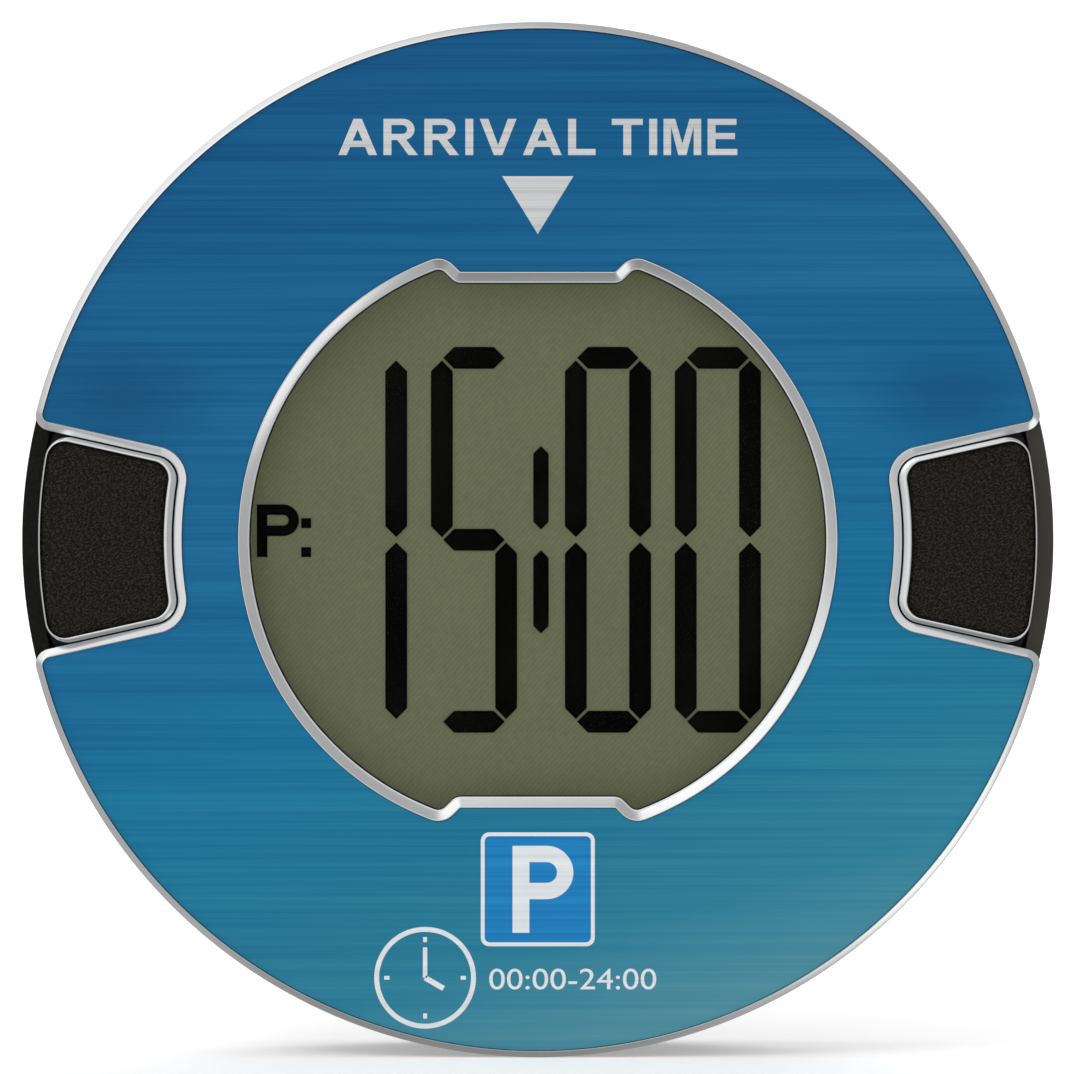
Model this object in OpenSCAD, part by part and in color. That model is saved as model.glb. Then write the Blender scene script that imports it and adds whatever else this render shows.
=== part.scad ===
// Round electronic parking disc: a large liquid crystal clock face in a chromed
// bezel, two side keys, a sliding battery cover on the back.
// Every piece is drawn lying on its back, front face up, and then stood upright,
// so that the front faces -Y, +Z is up and the centre of the back face is the origin.

/* [Disc] */
// Diameter over the chromed rim
disc_d = 80; // [78:0.5:120]
// Thickness from the back face to the top of the chromed rim
disc_t = 15; // [15:0.5:24]
// How far the case wall stands in from the chromed rim
case_step = 0.1; // [0.05:0.05:0.5]
// Thickness of the case's side wall
case_wall = 1.25; // [1:0.05:2]
// Thickness of the case's back wall and of the battery cover
back_wall = 1.4; // [1.2:0.1:2]
// Chamfer around the back face
back_chamfer = 1; // [0.3:0.1:1.1]

/* [Bezel] */
// Width of the chromed rim around the coloured plate
rim_w = 0.55; // [0.4:0.05:1.5]
// Height of the rim above the coloured plate
rim_h = 0.25; // [0.1:0.05:0.5]
// Thickness of the chromed rim where it rests on the case wall
rim_t = 1.1; // [1:0.1:1.5]
// Thickness of the bezel's floor under the plate
bezel_floor = 0.9; // [0.7:0.1:1.5]
// Thickness of the coloured metal plate
plate_t = 0.45; // [0.3:0.05:0.6]
// Thickness of the adhesive sheet under the plate
adhesive_t = 0.1; // [0.05:0.05:0.2]
// Height of the collar that centres the bezel in the case
collar_h = 1.2; // [0.8:0.1:2]
// Thickness of that collar
collar_t = 1; // [0.8:0.1:1.5]
// Angle by which the collar stops short of each side of a notch
collar_clear = 8.45; // [6:0.05:12]

/* [Key notches] */
// Depth of each side notch, in from the rim
notch_depth = 11.88; // [10:0.1:12]
// Half of the angle that each notch spans
notch_angle = 12.55; // [10:0.25:14]
// Radius of the notch's inner corners
notch_corner_r = 1.9; // [1:0.1:3]
// Radius of the bezel's corners where a notch meets the rim
notch_end_r = 1.2; // [1:0.1:2]
// Width of the raised lip around a notch
notch_lip_w = 0.65; // [0.5:0.05:0.9]

/* [Display frame] */
// Diameter of the chromed frame around the display
frame_d = 46.28; // [44:0.2:47]
// How far the frame's flat edges at the top and the bottom stand in from its circle
frame_flat_in = 2.45; // [2:0.05:3.2]
// Half of the width of those flat edges
frame_flat_w = 6; // [4:0.5:8]
// Radius of the rounded horns beside the flat edges
horn_r = 1.65; // [1.2:0.05:2]
// Radius where a horn runs into the flat edge
crook_r = 0.2; // [0.2:0.05:0.5]
// Width of the frame's slope
slope_w = 0.9; // [0.6:0.05:1]
// Height of the frame above the coloured plate
frame_h = 0.15; // [0.05:0.05:0.3]
// How far the flange that holds the frame reaches out behind the bezel
flange_w = 1.46; // [1.1:0.02:1.8]
// Thickness of that flange
flange_t = 0.8; // [0.6:0.1:1]

/* [Display] */
// Depth of the clear window below the rim
window_depth = 1.1; // [1:0.05:1.4]
// Thickness of the clear window
window_t = 1; // [0.8:0.1:1.2]
// How far the window's edge is held under the frame
window_ledge = 0.35; // [0.25:0.05:0.4]
// Thickness of the foam gasket behind the window
gasket_t = 0.4; // [0.3:0.1:0.6]
// How far the display glass reaches past the frame's opening at the sides
lcd_side = 0.76; // [0.6:0.02:1.2]
// How far the rear glass reaches past the opening at the top and the bottom
lcd_over = 0.39; // [0.3:0.01:0.8]
// Height left free on the rear glass for each row of contacts
lcd_ledge = 1.3; // [1:0.1:1.5]
// Thickness of each glass
glass_t = 0.55; // [0.4:0.05:0.8]
// Thickness of the polarizer and of the reflector
film_t = 0.2; // [0.1:0.05:0.3]
// Thickness of the liquid crystal layer between the glasses
crystal_t = 0.1; // [0.05:0.05:0.2]
// Inset of the films from the edge of the glass
film_inset = 0.15; // [0.1:0.05:0.3]
// Gap around the glass in its holder, and around the rubber contact strips
lcd_play = 0.1; // [0.05:0.05:0.2]
// Wall of the plastic holder around the glass
lcd_wall = 1.2; // [0.8:0.1:1.5]
// Width of the holder's shelf behind the glass
lcd_shelf = 1.6; // [1:0.1:2]
// How far the rubber contact strips stop short of the glass's sides
zebra_in = 3; // [2:0.5:6]

/* [Digits] */
// Distance between the opening's horns and the digits
digit_margin = 5.81; // [5:0.01:8]
// Distance between the opening's widest points and the outer digits
digit_side = 5.13; // [5:0.01:6]
// Thickness of a segment
segment_w = 1.7; // [1.2:0.1:1.9]
// Gap between the points of neighbouring segments, across and along
segment_gap = 0.2; // [0.1:0.05:0.3]
// Gap between the digits of a pair
digit_gap = 1.85; // [1.5:0.05:2.2]
// Gap between the two digits beside the colon
colon_room = 3.72; // [3:0.02:4]
// Length of each bar of the colon
colon_h = 6.5; // [4:0.1:7]
// Width of the colon's bars
colon_w = 1.2; // [0.8:0.1:1.4]
// Distance of the colon's bars from the digits' middle line
colon_off = 0.8; // [0.4:0.1:1.5]
// Shift of the whole time to the right of the centre
digit_shift = 0.25; // [0:0.05:0.5]
// Height of the small letter beside the time
letter_h = 4.1; // [3:0.1:5]
// Gap between the opening's edge and the small letter
letter_in = 0.14; // [0.1:0.02:0.4]
// Distance of the small letter's foot below the digits' middle line
letter_drop = 1.35; // [0:0.05:3]

/* [Keys] */
// Running gap around a key
key_gap = 0.12; // [0.1:0.02:0.3]
// How far a key stands above the rim
key_proud = 0.5; // [0.3:0.1:1]
// How far a key goes in when it is pressed
key_travel = 0.8; // [0.4:0.1:1]
// Width of the polished edge along a key's sides
key_edge = 0.5; // [0.4:0.05:0.8]
// Width of the polished edge towards the display
key_edge_in = 0.75; // [0.5:0.05:1]
// Width of the polished edge towards the rim
key_edge_out = 0.2; // [0.2:0.05:0.4]
// Thickness of the grained pad in a key
pad_t = 0.6; // [0.4:0.1:0.8]
// Height of a key's chromed trim
trim_h = 2.1; // [1.8:0.1:2.3]
// How far a key's flange reaches under the bezel
key_flange_w = 0.9; // [0.6:0.1:1.2]
// Thickness of that flange
key_flange_t = 0.8; // [0.6:0.1:1]
// Distance of a key's plunger towards the rim from the middle of the key
plunger_out = 0; // [-1:0.1:0.8]
// Radius of a key's plunger
plunger_r = 1.5; // [1.2:0.1:1.8]
// Height of the rubber dome under a plunger
dome_h = 1.5; // [1.4:0.1:1.8]
// Radius of the rubber dome's foot
dome_r = 3.4; // [3:0.1:3.6]
// Width of the flat foot around the dome
dome_foot_w = 0.6; // [0.4:0.1:0.8]
// Thickness of that foot
dome_foot_t = 0.5; // [0.3:0.1:0.6]
// Thickness of the dome's rubber skin
dome_skin = 0.35; // [0.25:0.05:0.5]
// Radius of the contact pad on the board under each dome
contact_pad_r = 1.2; // [0.8:0.1:1.6]

/* [Circuit board] */
// Thickness of the circuit board
board_t = 1.2; // [0.8:0.2:1.6]
// Gap between the board's edge and the case wall
board_gap = 0.85; // [0.5:0.05:1.5]
// Width and depth of the microcontroller
chip_w = 10; // [7:0.5:12]
// Thickness of the microcontroller's body
chip_t = 1.2; // [0.8:0.1:1.4]
// Height of the microcontroller's body above the board
chip_lift = 0.15; // [0.05:0.05:0.3]
// Number of legs on each side of the microcontroller
chip_legs = 11; // [8:1:11]
// Distance between those legs
leg_pitch = 0.8; // [0.5:0.05:0.85]
// Width of a leg
leg_w = 0.24; // [0.15:0.01:0.35]
// Thickness of a leg's sheet metal
leg_t = 0.15; // [0.1:0.05:0.2]
// Reach of a leg's shoulder out of the body, and of its foot beyond that
leg_reach = 0.6; // [0.4:0.1:1]
// Width and depth of the motion sensor
sensor_w = 5; // [3:0.5:6]
// Thickness of the motion sensor
sensor_t = 1.5; // [1:0.1:2]
// Radius of the watch crystal's can
quartz_r = 1; // [0.7:0.1:1.2]
// Length of the watch crystal's can
quartz_l = 6; // [4:0.5:8]
// Radius of the buffer capacitor's can
buffer_r = 3.1; // [2:0.1:4]
// Gap between the buffer capacitor and the case's back wall
buffer_gap = 0.8; // [0.3:0.1:1.5]
// Width of a chip capacitor
small_w = 1; // [0.5:0.1:1.6]
// Length of a chip capacitor
small_l = 2; // [1:0.1:3.2]
// Height of a chip capacitor
small_t = 0.8; // [0.4:0.1:1.2]

/* [Batteries] */
// Diameter of a coin cell
cell_d = 24.5; // [24.5:0.1:25]
// Thickness of a coin cell
cell_t = 5; // [4:0.1:5.1]
// Gap between the two coin cells
cell_spacing = 1.3; // [1.3:0.1:2.5]
// Distance of the cells' upper edges below the battery cover's upper edge
cell_inset = 0.75; // [0.3:0.05:1.2]
// Height of the step around a cell's small side
cell_step = 0.4; // [0.3:0.05:0.6]
// Width of that step
cell_step_w = 1.6; // [1.2:0.1:2]
// Gap around a cell and its contact in the holder
cell_play = 0.15; // [0.1:0.05:0.3]
// Gap between the cells and the battery cover
cell_gap = 0.3; // [0.3:0.1:1]
// Gap between the cells and the circuit board, which the contacts bridge
contact_room = 0.7; // [0.6:0.1:1.5]
// Wall of the plastic holder around the cells
holder_wall = 1.2; // [0.8:0.1:1.2]
// Thickness of the contact sheet metal
contact_t = 0.3; // [0.2:0.05:0.4]
// Width of the contact at a cell's rim
contact_w = 4; // [2:0.5:6]
// Length of the contact strip behind a cell's small side
strip_l = 10; // [6:0.5:14]
// Width of that strip
strip_w = 3; // [2:0.5:5]
// Radius of the bump on that strip
bump_r = 1.2; // [0.8:0.1:1.4]

/* [Battery cover] */
// How far the battery cover reaches past the cells on each side
cover_side = 1.85; // [1.5:0.05:2.3]
// Distance of the cover's upper edge below the disc's centre
cover_drop = 3; // [3:0.1:3.4]
// Gap around the cover
cover_gap = 0.15; // [0.1:0.05:0.2]
// Reach of the tongues along the cover's sides
tongue_w = 0.8; // [0.6:0.1:1]
// Thickness of those tongues
tongue_t = 0.5; // [0.4:0.05:0.6]
// Number of grip ridges on the cover
grip_count = 5; // [3:1:6]
// Width of the grip ridges
grip_w = 16; // [10:0.5:24]
// Distance of the lowest groove's middle from the rim
grip_in = 6; // [5:0.5:8]
// Distance between the grip ridges
grip_pitch = 1.6; // [1.4:0.1:2]
// Depth of the grooves between the ridges
grip_depth = 0.4; // [0.2:0.1:0.6]

/* [Screws] */
// Angles of the four screws around the disc
screw_angles = [60, 120, 205, 335];
// Distance of the screws in from the rim
screw_in = 5.5; // [5.5:0.1:5.8]
// Radius of a screw's shank
screw_r = 1; // [0.8:0.1:1.2]
// Radius of a screw's head
screw_head_r = 1.85; // [1.6:0.05:2]
// Height of a screw's head
screw_head_h = 1.2; // [1:0.1:1.4]
// Depth of a screw's head below the back face
screw_sunk = 0.6; // [0.2:0.1:0.8]
// Length of a screw's shank
screw_l = 10.4; // [8:0.1:10.8]
// Clearance around a screw's shank in the case and the board
screw_play = 0.15; // [0.1:0.05:0.3]
// Clearance around a screw's head
head_play = 0.2; // [0.1:0.05:0.3]
// Width of the cross recess's slots
slot_w = 0.4; // [0.3:0.05:0.6]
// Length of those slots
slot_l = 2; // [1.4:0.1:2.4]
// Depth of those slots
slot_depth = 0.6; // [0.4:0.1:0.8]
// Room left in a boss beyond the screw's tip
tip_room = 0.5; // [0.3:0.1:1]
// Radius of the bezel's bosses around the screws
boss_r = 2.4; // [2:0.1:2.6]
// Wall of the case's pillars around the screws' heads
pillar_wall = 1.15; // [0.9:0.05:1.3]

/* [Hidden] */

$fn = 96;
eps = 0.01;                // overlap of pieces of one solid
past = 1;                  // reach of a cutting tool past what it cuts
fit = 0.05;                // gap between pieces that are fitted together and stay put
arc_steps = 6;             // chords in each rounded corner
long_steps = 8;            // chords in half of a notch's long arc
frame_steps = 14;          // chords in a quarter of the display frame

// Places on the board, seen from the front
quartz_at = [7, 12];
sensor_at = [18, 14];
buffer_at = [-10, 16];
small_at = [[-22, 8], [-19, 8], [-16, 8], [1, 9], [1, 16], [13, 22], [10, 22], [-2, 24]];

// Radii
disc_r = disc_d / 2;
case_r = disc_r - case_step;
case_inner_r = case_r - case_wall;
notch_r = disc_r - notch_depth;
frame_r = frame_d / 2;
board_r = case_inner_r - board_gap;
cell_r = cell_d / 2;
flange_r = frame_r + flange_w;
head_hole_r = screw_head_r + head_play;

// Places around the face and behind it
frame_flat = frame_r - frame_flat_in;
collar_break = notch_angle + collar_clear;
screw_ring = disc_r - screw_in;
plunger_x = (notch_r + case_inner_r) / 2 + plunger_out;
cell_pitch = cell_d + cell_spacing;
cell_drop = cover_drop + cell_inset + cell_r;
cover_w = cell_pitch + cell_d + 2 * cover_side;

// The centres of the display frame's horns and of the crooks beside its flat edges
horn_u = frame_flat_w - frame_flat + horn_r * sqrt(2);
horn_v = sqrt(2 * pow(frame_r - horn_r, 2) - pow(horn_u, 2));
horn_c = [(horn_v + horn_u) / 2, (horn_v - horn_u) / 2];
horn_a = atan2(horn_c.y, horn_c.x);
crook_c = [frame_flat_w - crook_r * tan(22.5), frame_flat + crook_r];

// The frame's opening, and the glass and the digits that fill it
view_r = frame_r - slope_w;
view_up = horn_c.y + horn_r - slope_w;
lcd_w = 2 * (view_r + lcd_side);
rear_glass_h = 2 * (view_up + lcd_over);
lcd_h = rear_glass_h + 2 * lcd_ledge;
digit_h = 2 * (view_up - digit_margin);
digit_w = (2 * (view_r - digit_side) - 2 * digit_gap - colon_room) / 4;
digit_pitch = digit_w + digit_gap;
colon_pitch = digit_w + colon_room;

// The rubber contact strips
zebra_w = lcd_w - 2 * zebra_in;
zebra_t = lcd_ledge - 2 * lcd_play;
zebra_y = (lcd_h - lcd_ledge) / 2;

// Levels above the back face, from the front inwards
plate_top = disc_t - rim_h;
plate_seat = plate_top - plate_t - adhesive_t;
bezel_under = plate_seat - bezel_floor;
case_top = disc_t - rim_t;
window_top = disc_t - window_depth;
window_under = window_top - window_t;
flange_under = bezel_under - flange_t;
lcd_top = window_under - gasket_t;
front_glass_top = lcd_top - film_t;
crystal_top = front_glass_top - glass_t;
rear_glass_top = crystal_top - crystal_t;
reflector_top = rear_glass_top - glass_t;
lcd_under = reflector_top - film_t;

// Levels above the back face, from the back inwards
cell_base = back_wall + cell_gap;
board_under = cell_base + cell_t + contact_room;
board_top = board_under + board_t;
tongue_base = (back_wall - tongue_t) / 2;
shank_base = screw_sunk + screw_head_h;

// A key's levels
key_top = disc_t + key_proud;
trim_base = key_top - trim_h;
key_flange_top = bezel_under - key_gap;
key_flange_under = key_flange_top - key_flange_t;
plunger_base = board_top + dome_h + fit;

// ---------------------------------------------------------------- outlines

// Points along an arc about c, from angle a0 to angle a1
function arc(c, r, a0, a1, n = arc_steps) =
    [for (i = [0:n]) let (a = a0 + (a1 - a0) * i / n) c + r * [cos(a), sin(a)]];

// A point at a radius and an angle
function polar(r, a) = r * [cos(a), sin(a)];

// The points of an upper half, closed by their mirror image below the X axis
function closed_below(upper) =
    concat(upper,
           [for (i = [len(upper) - 1:-1:0]) if (upper[i].y > eps) [upper[i].x, -upper[i].y]]);

// A ring sector on the +X axis between two radii, with sides moved out by side
// from the notch's own radial lines and corners of radius f
function sector_points(r_in, r_out, side, f) =
    let (outer = notch_angle + asin((side - f) / (r_out - f)))
    let (inner = notch_angle + asin((side - f) / (r_in + f)))
    let (up = notch_angle + 90)
    closed_below(concat(
        arc([0, 0], r_out, 0, outer, long_steps),
        arc(polar(r_out - f, outer), f, outer, up),
        arc(polar(r_in + f, inner), f, up, inner + 180),
        arc([0, 0], r_in, inner, 0, long_steps)));

// A key's outline, moved out by g from the notch's edge and the case wall
function key_points(g) =
    sector_points(notch_r - g, case_inner_r + g, g, notch_corner_r + g);

// A notch that opens at the rim r_rim, moved out by g, with flared ends of radius f
function notch_points(g, r_rim, f) =
    let (corner = notch_corner_r + g)
    let (inner = notch_angle + asin((g - corner) / (notch_r - g + corner)))
    let (flare = notch_angle + asin((g + f) / (r_rim - f)))
    closed_below(concat(
        arc([0, 0], notch_r - g, 0, inner, long_steps),
        arc(polar(notch_r - g + corner, inner), corner, inner + 180, notch_angle + 90),
        arc(polar(r_rim - f, flare), f, notch_angle - 90, flare),
        [polar(2 * disc_r, flare)]));

// A quarter of the display frame's outline, moved out by g: a circle that runs
// over a rounded horn and down to the flat edge
function frame_quarter(g) =
    concat(arc([0, 0], frame_r + g, 0, horn_a, frame_steps),
           arc(horn_c, horn_r + g, horn_a, 135),
           arc(crook_c, crook_r - g, -45, -90));

// The display frame's whole outline
function frame_points(g) =
    let (q = frame_quarter(g))
    let (n = len(q) - 1)
    concat(q,
           [for (i = [n:-1:1]) [-q[i].x, q[i].y]],
           [for (i = [0:n]) [-q[i].x, -q[i].y]],
           [for (i = [n:-1:1]) [q[i].x, -q[i].y]]);

// ---------------------------------------------------------------- helpers

// Stands a piece that was drawn lying on its back
module upright() {
    rotate([90, 0, 0]) children();
}

// A flat outline as a slab between two levels
module slab(z0, z1) {
    translate([0, 0, z0]) linear_extrude(z1 - z0) children();
}

// Does something on both sides of the disc
module both_sides() {
    for (a = [0, 180]) rotate([0, 0, a]) children();
}

// A box centred on the Z axis, between two levels
module block(w, h, z0, z1) {
    slab(z0, z1) square([w, h], center = true);
}

// Does something at each screw
module at_screws() {
    for (a = screw_angles) rotate([0, 0, a]) translate([screw_ring, 0, 0]) children();
}

// A disc of radius r from the back face up to the level z1, chamfered at the back
module chamfered_disc(r, z1) {
    rotate_extrude()
        polygon([[0, 0], [r - back_chamfer, 0], [r, back_chamfer], [r, z1], [0, z1]]);
}

// The strip that the battery cover slides in, wider on each side and higher
module cover_strip(side, up) {
    translate([-cover_w / 2 - side, -disc_r - past])
        square([cover_w + 2 * side, disc_r + past - cover_drop + up]);
}

// ---------------------------------------------------------------- the case

// Back shell with its side wall, screw pillars and the battery cover's slideway
module rear_case() {
    color("#232220") upright() difference() {
        union() {
            difference() {
                chamfered_disc(case_r, case_top);
                translate([0, 0, back_wall]) cylinder(r = case_inner_r, h = disc_t);
            }
            at_screws() cylinder(r = head_hole_r + pillar_wall, h = board_under);
        }
        slab(-past, back_wall + cover_gap) cover_strip(cover_gap, cover_gap);
        slab(tongue_base - cover_gap, tongue_base + tongue_t + cover_gap)
            cover_strip(tongue_w + cover_gap, cover_gap);
        at_screws() {
            translate([0, 0, -past]) cylinder(r = screw_r + screw_play, h = disc_t);
            translate([0, 0, -past]) cylinder(r = head_hole_r, h = shank_base + past);
        }
    }
}

// Cover that slides down off the back, with a tongue along each side
module battery_cover() {
    color("#2b2a28") upright() difference() {
        intersection() {
            chamfered_disc(case_r, back_wall);
            union() {
                slab(0, back_wall) cover_strip(0, 0);
                slab(tongue_base, tongue_base + tongue_t) cover_strip(tongue_w, 0);
            }
        }
        for (i = [0:grip_count - 1])
            translate([0, -disc_r + grip_in + i * grip_pitch, 0])
                block(grip_w, grip_pitch / 2, -past, grip_depth);
    }
}

// Chromed front shell: floor, raised rim, lips around the notches, screw bosses
module front_bezel() {
    color("#d9dadc") upright() difference() {
        union() {
            slab(case_top, disc_t) circle(r = disc_r);
            slab(bezel_under, case_top + eps) circle(r = case_inner_r - fit);
            slab(bezel_under - collar_h, bezel_under + eps) difference() {
                circle(r = case_inner_r - fit);
                circle(r = case_inner_r - fit - collar_t);
                both_sides() polygon([[0, 0],
                                      polar(2 * disc_r, -collar_break),
                                      polar(2 * disc_r, collar_break)]);
            }
            at_screws() translate([0, 0, board_top])
                cylinder(r = boss_r, h = bezel_under - board_top + eps);
        }
        slab(0, disc_t + past) {
            both_sides() polygon(notch_points(0, disc_r, notch_end_r));
            polygon(frame_points(fit));
        }
        slab(plate_seat, disc_t + past) difference() {
            circle(r = disc_r - rim_w);
            both_sides()
                polygon(notch_points(notch_lip_w, disc_r - rim_w, notch_end_r - rim_w));
        }
        at_screws() cylinder(r = screw_r + fit, h = shank_base + screw_l + tip_room);
    }
}

// The outline that the coloured plate and its adhesive share, smaller by g
module plate_outline(g) {
    difference() {
        circle(r = disc_r - rim_w - g);
        both_sides() polygon(notch_points(notch_lip_w + g, disc_r - rim_w - g,
                                          notch_end_r - rim_w - g));
        polygon(frame_points(g));
    }
}

// Brushed and anodised metal plate on the front
module face_plate() {
    color("#1d5f95") upright()
        slab(plate_top - plate_t, plate_top) plate_outline(fit);
}

// Adhesive sheet that holds the plate
module plate_adhesive() {
    color("#e8e4d8") upright()
        slab(plate_seat, plate_top - plate_t) plate_outline(2 * fit);
}

// ---------------------------------------------------------------- the display

// A closed ring swept from rings of points, each at its own level, in order around
// the ring's section: up its outside and down its inside
module swept_ring(rings, levels) {
    n = len(rings[0]);
    m = len(rings);
    polyhedron(
        points = [for (k = [0:m - 1]) for (p = rings[k]) [p.x, p.y, levels[k]]],
        faces = [for (k = [0:m - 1]) for (i = [0:n - 1])
            let (j = (i + 1) % n)
            let (l = (k + 1) % m)
            [k * n + i, l * n + i, l * n + j, k * n + j]]);
}

// Chromed frame with a slope down to the window and a flange behind the bezel
module display_frame() {
    frame_top = plate_top + frame_h;
    outer = frame_points(0);
    flange = [for (p = outer) p * flange_r / norm(p)];
    inner = frame_points(-slope_w);
    seat = frame_points(-slope_w + window_ledge + fit);
    gasket_seat = frame_points(2 * fit);
    color("#e2e3e5") upright() swept_ring(
        [flange, flange, outer, outer, frame_points(-fit), inner,
         inner, seat, seat, gasket_seat, gasket_seat],
        [flange_under, bezel_under, bezel_under, frame_top, frame_top, window_top + fit,
         window_top, window_top, window_under, window_under, flange_under]);
}

// Clear window
module display_window() {
    color("#d8e4e8", 0.35) upright()
        slab(window_under, window_top) polygon(frame_points(-slope_w + window_ledge));
}

// Foam gasket between the window and the display
module window_gasket() {
    color("#111111") upright() slab(lcd_top, window_under) difference() {
        polygon(frame_points(fit));
        polygon(frame_points(-slope_w + fit));
    }
}

// Front polarizer film
module lcd_polarizer() {
    color("#6b6f55", 0.5) upright()
        block(lcd_w - 2 * film_inset, rear_glass_h, front_glass_top, lcd_top);
}

// Front glass, with a contact edge at the top and the bottom
module lcd_front_glass() {
    color("#c9d2c0", 0.4) upright()
        block(lcd_w, lcd_h, crystal_top, front_glass_top);
}

// Rear glass
module lcd_rear_glass() {
    color("#b7c0ae", 0.4) upright()
        block(lcd_w, rear_glass_h, reflector_top, rear_glass_top);
}

// Rear polarizer with its reflector
module lcd_reflector() {
    color("#5a5d47") upright()
        block(lcd_w - 2 * film_inset, rear_glass_h - 2 * film_inset, lcd_under, reflector_top);
}

// A segment with pointed ends, from [0, 0] up to [0, l]
module segment(l, w = segment_w) {
    h = w / 2;
    polygon([[0, 0], [h, h], [h, l - h], [0, l], [-h, l - h], [-h, h]]);
}

// One upright segment: right or left, upper or lower
module upright_segment(right, upper) {
    half = digit_h / 2 - segment_w / 2 - 2 * segment_gap;
    x = (digit_w - segment_w) / 2;
    translate([right ? x : -x, upper ? segment_gap : -segment_gap - half]) segment(half);
}

// One level segment: at the bottom, the middle or the top
module level_segment(row) {
    l = digit_w - segment_w - segment_gap;
    translate([l / 2, row * (digit_h - segment_w) / 2]) rotate([0, 0, 90]) segment(l);
}

// A seven-segment digit, from a string that names its dark segments a to g
module digit(dark) {
    for (s = dark) {
        if (s == "a") level_segment(1);
        if (s == "b") upright_segment(true, true);
        if (s == "c") upright_segment(true, false);
        if (s == "d") level_segment(-1);
        if (s == "e") upright_segment(false, false);
        if (s == "f") upright_segment(false, true);
        if (s == "g") level_segment(0);
    }
}

// The small letter P with its colon, on its left lower corner
module small_letter() {
    stem = letter_h * 0.2;
    bowl = letter_h * 0.3;
    dot = letter_h * 0.19;
    square([stem, letter_h]);
    translate([0, letter_h - 2 * bowl]) difference() {
        union() {
            square([bowl + stem, 2 * bowl]);
            translate([bowl + stem, bowl]) circle(r = bowl);
        }
        translate([stem, stem]) square([bowl, 2 * (bowl - stem)]);
        translate([bowl + stem, bowl]) circle(r = bowl - stem);
    }
    for (y = [0, letter_h * 0.55]) translate([letter_h * 0.84, y]) square(dot);
}

// Dark segments of the liquid crystal layer, showing a time with its colon
module lcd_segments() {
    pair = (digit_pitch + colon_pitch) / 2;
    color("#050505") upright() slab(rear_glass_top, crystal_top)
        translate([digit_shift, 0]) {
            translate([-pair - digit_pitch / 2, 0]) digit("bc");
            translate([-pair + digit_pitch / 2, 0]) digit("acdfg");
            translate([pair - digit_pitch / 2, 0]) digit("abcdef");
            translate([pair + digit_pitch / 2, 0]) digit("abcdef");
            for (y = [colon_off, -colon_off - colon_h])
                translate([0, y]) segment(colon_h, colon_w);
            translate([-view_r + letter_in, -letter_drop]) small_letter();
        }
}

// Plastic frame that carries the display glass on the board
module lcd_holder() {
    pocket_w = lcd_w + 2 * lcd_play;
    pocket_h = lcd_h + 2 * lcd_play;
    color("#1b1b1b") upright() difference() {
        block(pocket_w + 2 * lcd_wall, pocket_h + 2 * lcd_wall, board_top, flange_under);
        block(pocket_w, pocket_h, crystal_top - lcd_ledge, flange_under + past);
        block(pocket_w - 2 * lcd_shelf, rear_glass_h - 2 * lcd_shelf,
              board_top - past, flange_under);
        block(pocket_w, rear_glass_h + lcd_play, lcd_under, flange_under + past);
        for (s = [1, -1]) translate([0, s * zebra_y, 0])
            block(zebra_w + 2 * lcd_play, zebra_t + 2 * lcd_play,
                  board_top - past, flange_under);
    }
}

// Conductive rubber strip between the glass and the board
module zebra_strip(s) {
    color("#6f7378") upright() translate([0, s * zebra_y, 0])
        block(zebra_w, zebra_t, board_top, crystal_top);
}

module zebra_strip_top() {
    zebra_strip(1);
}

module zebra_strip_bottom() {
    zebra_strip(-1);
}

// ---------------------------------------------------------------- the board

// Round circuit board, clamped between the case's pillars and the bezel's bosses
module main_board() {
    color("#1f5a36") upright() difference() {
        slab(board_under, board_top) circle(r = board_r);
        at_screws() cylinder(r = screw_r + screw_play, h = disc_t);
    }
}

// Flat chip with legs on four sides, on the front of the board
module microcontroller() {
    shoulder = chip_lift + (chip_t - leg_t) / 2;
    color("#202225") upright() {
        block(chip_w, chip_w, board_top + chip_lift, board_top + chip_lift + chip_t);
        for (a = [0:90:270]) rotate([0, 0, a])
            for (i = [0:chip_legs - 1])
                translate([(i - (chip_legs - 1) / 2) * leg_pitch - leg_w / 2, chip_w / 2, board_top]) {
                    translate([0, -eps, shoulder]) cube([leg_w, leg_reach + eps, leg_t]);
                    translate([0, leg_reach - eps, 0]) cube([leg_w, leg_t, shoulder + leg_t]);
                    translate([0, leg_reach, 0]) cube([leg_w, leg_reach, leg_t]);
                }
    }
}

// Watch crystal in a small can, behind the board
module quartz_crystal() {
    lead_r = 0.15;
    lead_l = 2.2;
    color("#c8cacc") upright()
        translate([quartz_at.x, quartz_at.y, board_under - quartz_r]) rotate([0, 90, 0]) {
            cylinder(r = quartz_r, h = quartz_l, center = true);
            for (s = [-1, 1]) translate([0, s * quartz_r * 0.35, quartz_l / 2 - eps])
                cylinder(r = lead_r, h = lead_l + eps);
        }
}

// Motion sensor that tells whether the car is moving
module motion_sensor() {
    lift = 0.1;
    pad_w = 0.6;
    pad_h = 0.4;
    pad_step = sensor_w / 5;
    color("#34373a") upright() translate([sensor_at.x, sensor_at.y, 0]) {
        block(sensor_w, sensor_w, board_under - lift - sensor_t, board_under - lift);
        for (s = [-1, 1]) for (i = [-1.5:1:1.5])
            translate([s * (sensor_w / 2 + lift), i * pad_step, 0])
                block(pad_w, pad_h, board_under - 5 * lift, board_under);
    }
}

// Small chip capacitors and resistors behind the board
module chip_capacitors() {
    color("#b99a6b") upright() for (p = small_at)
        translate([p.x, p.y, 0]) block(small_w, small_l, board_under - small_t, board_under);
}

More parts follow.
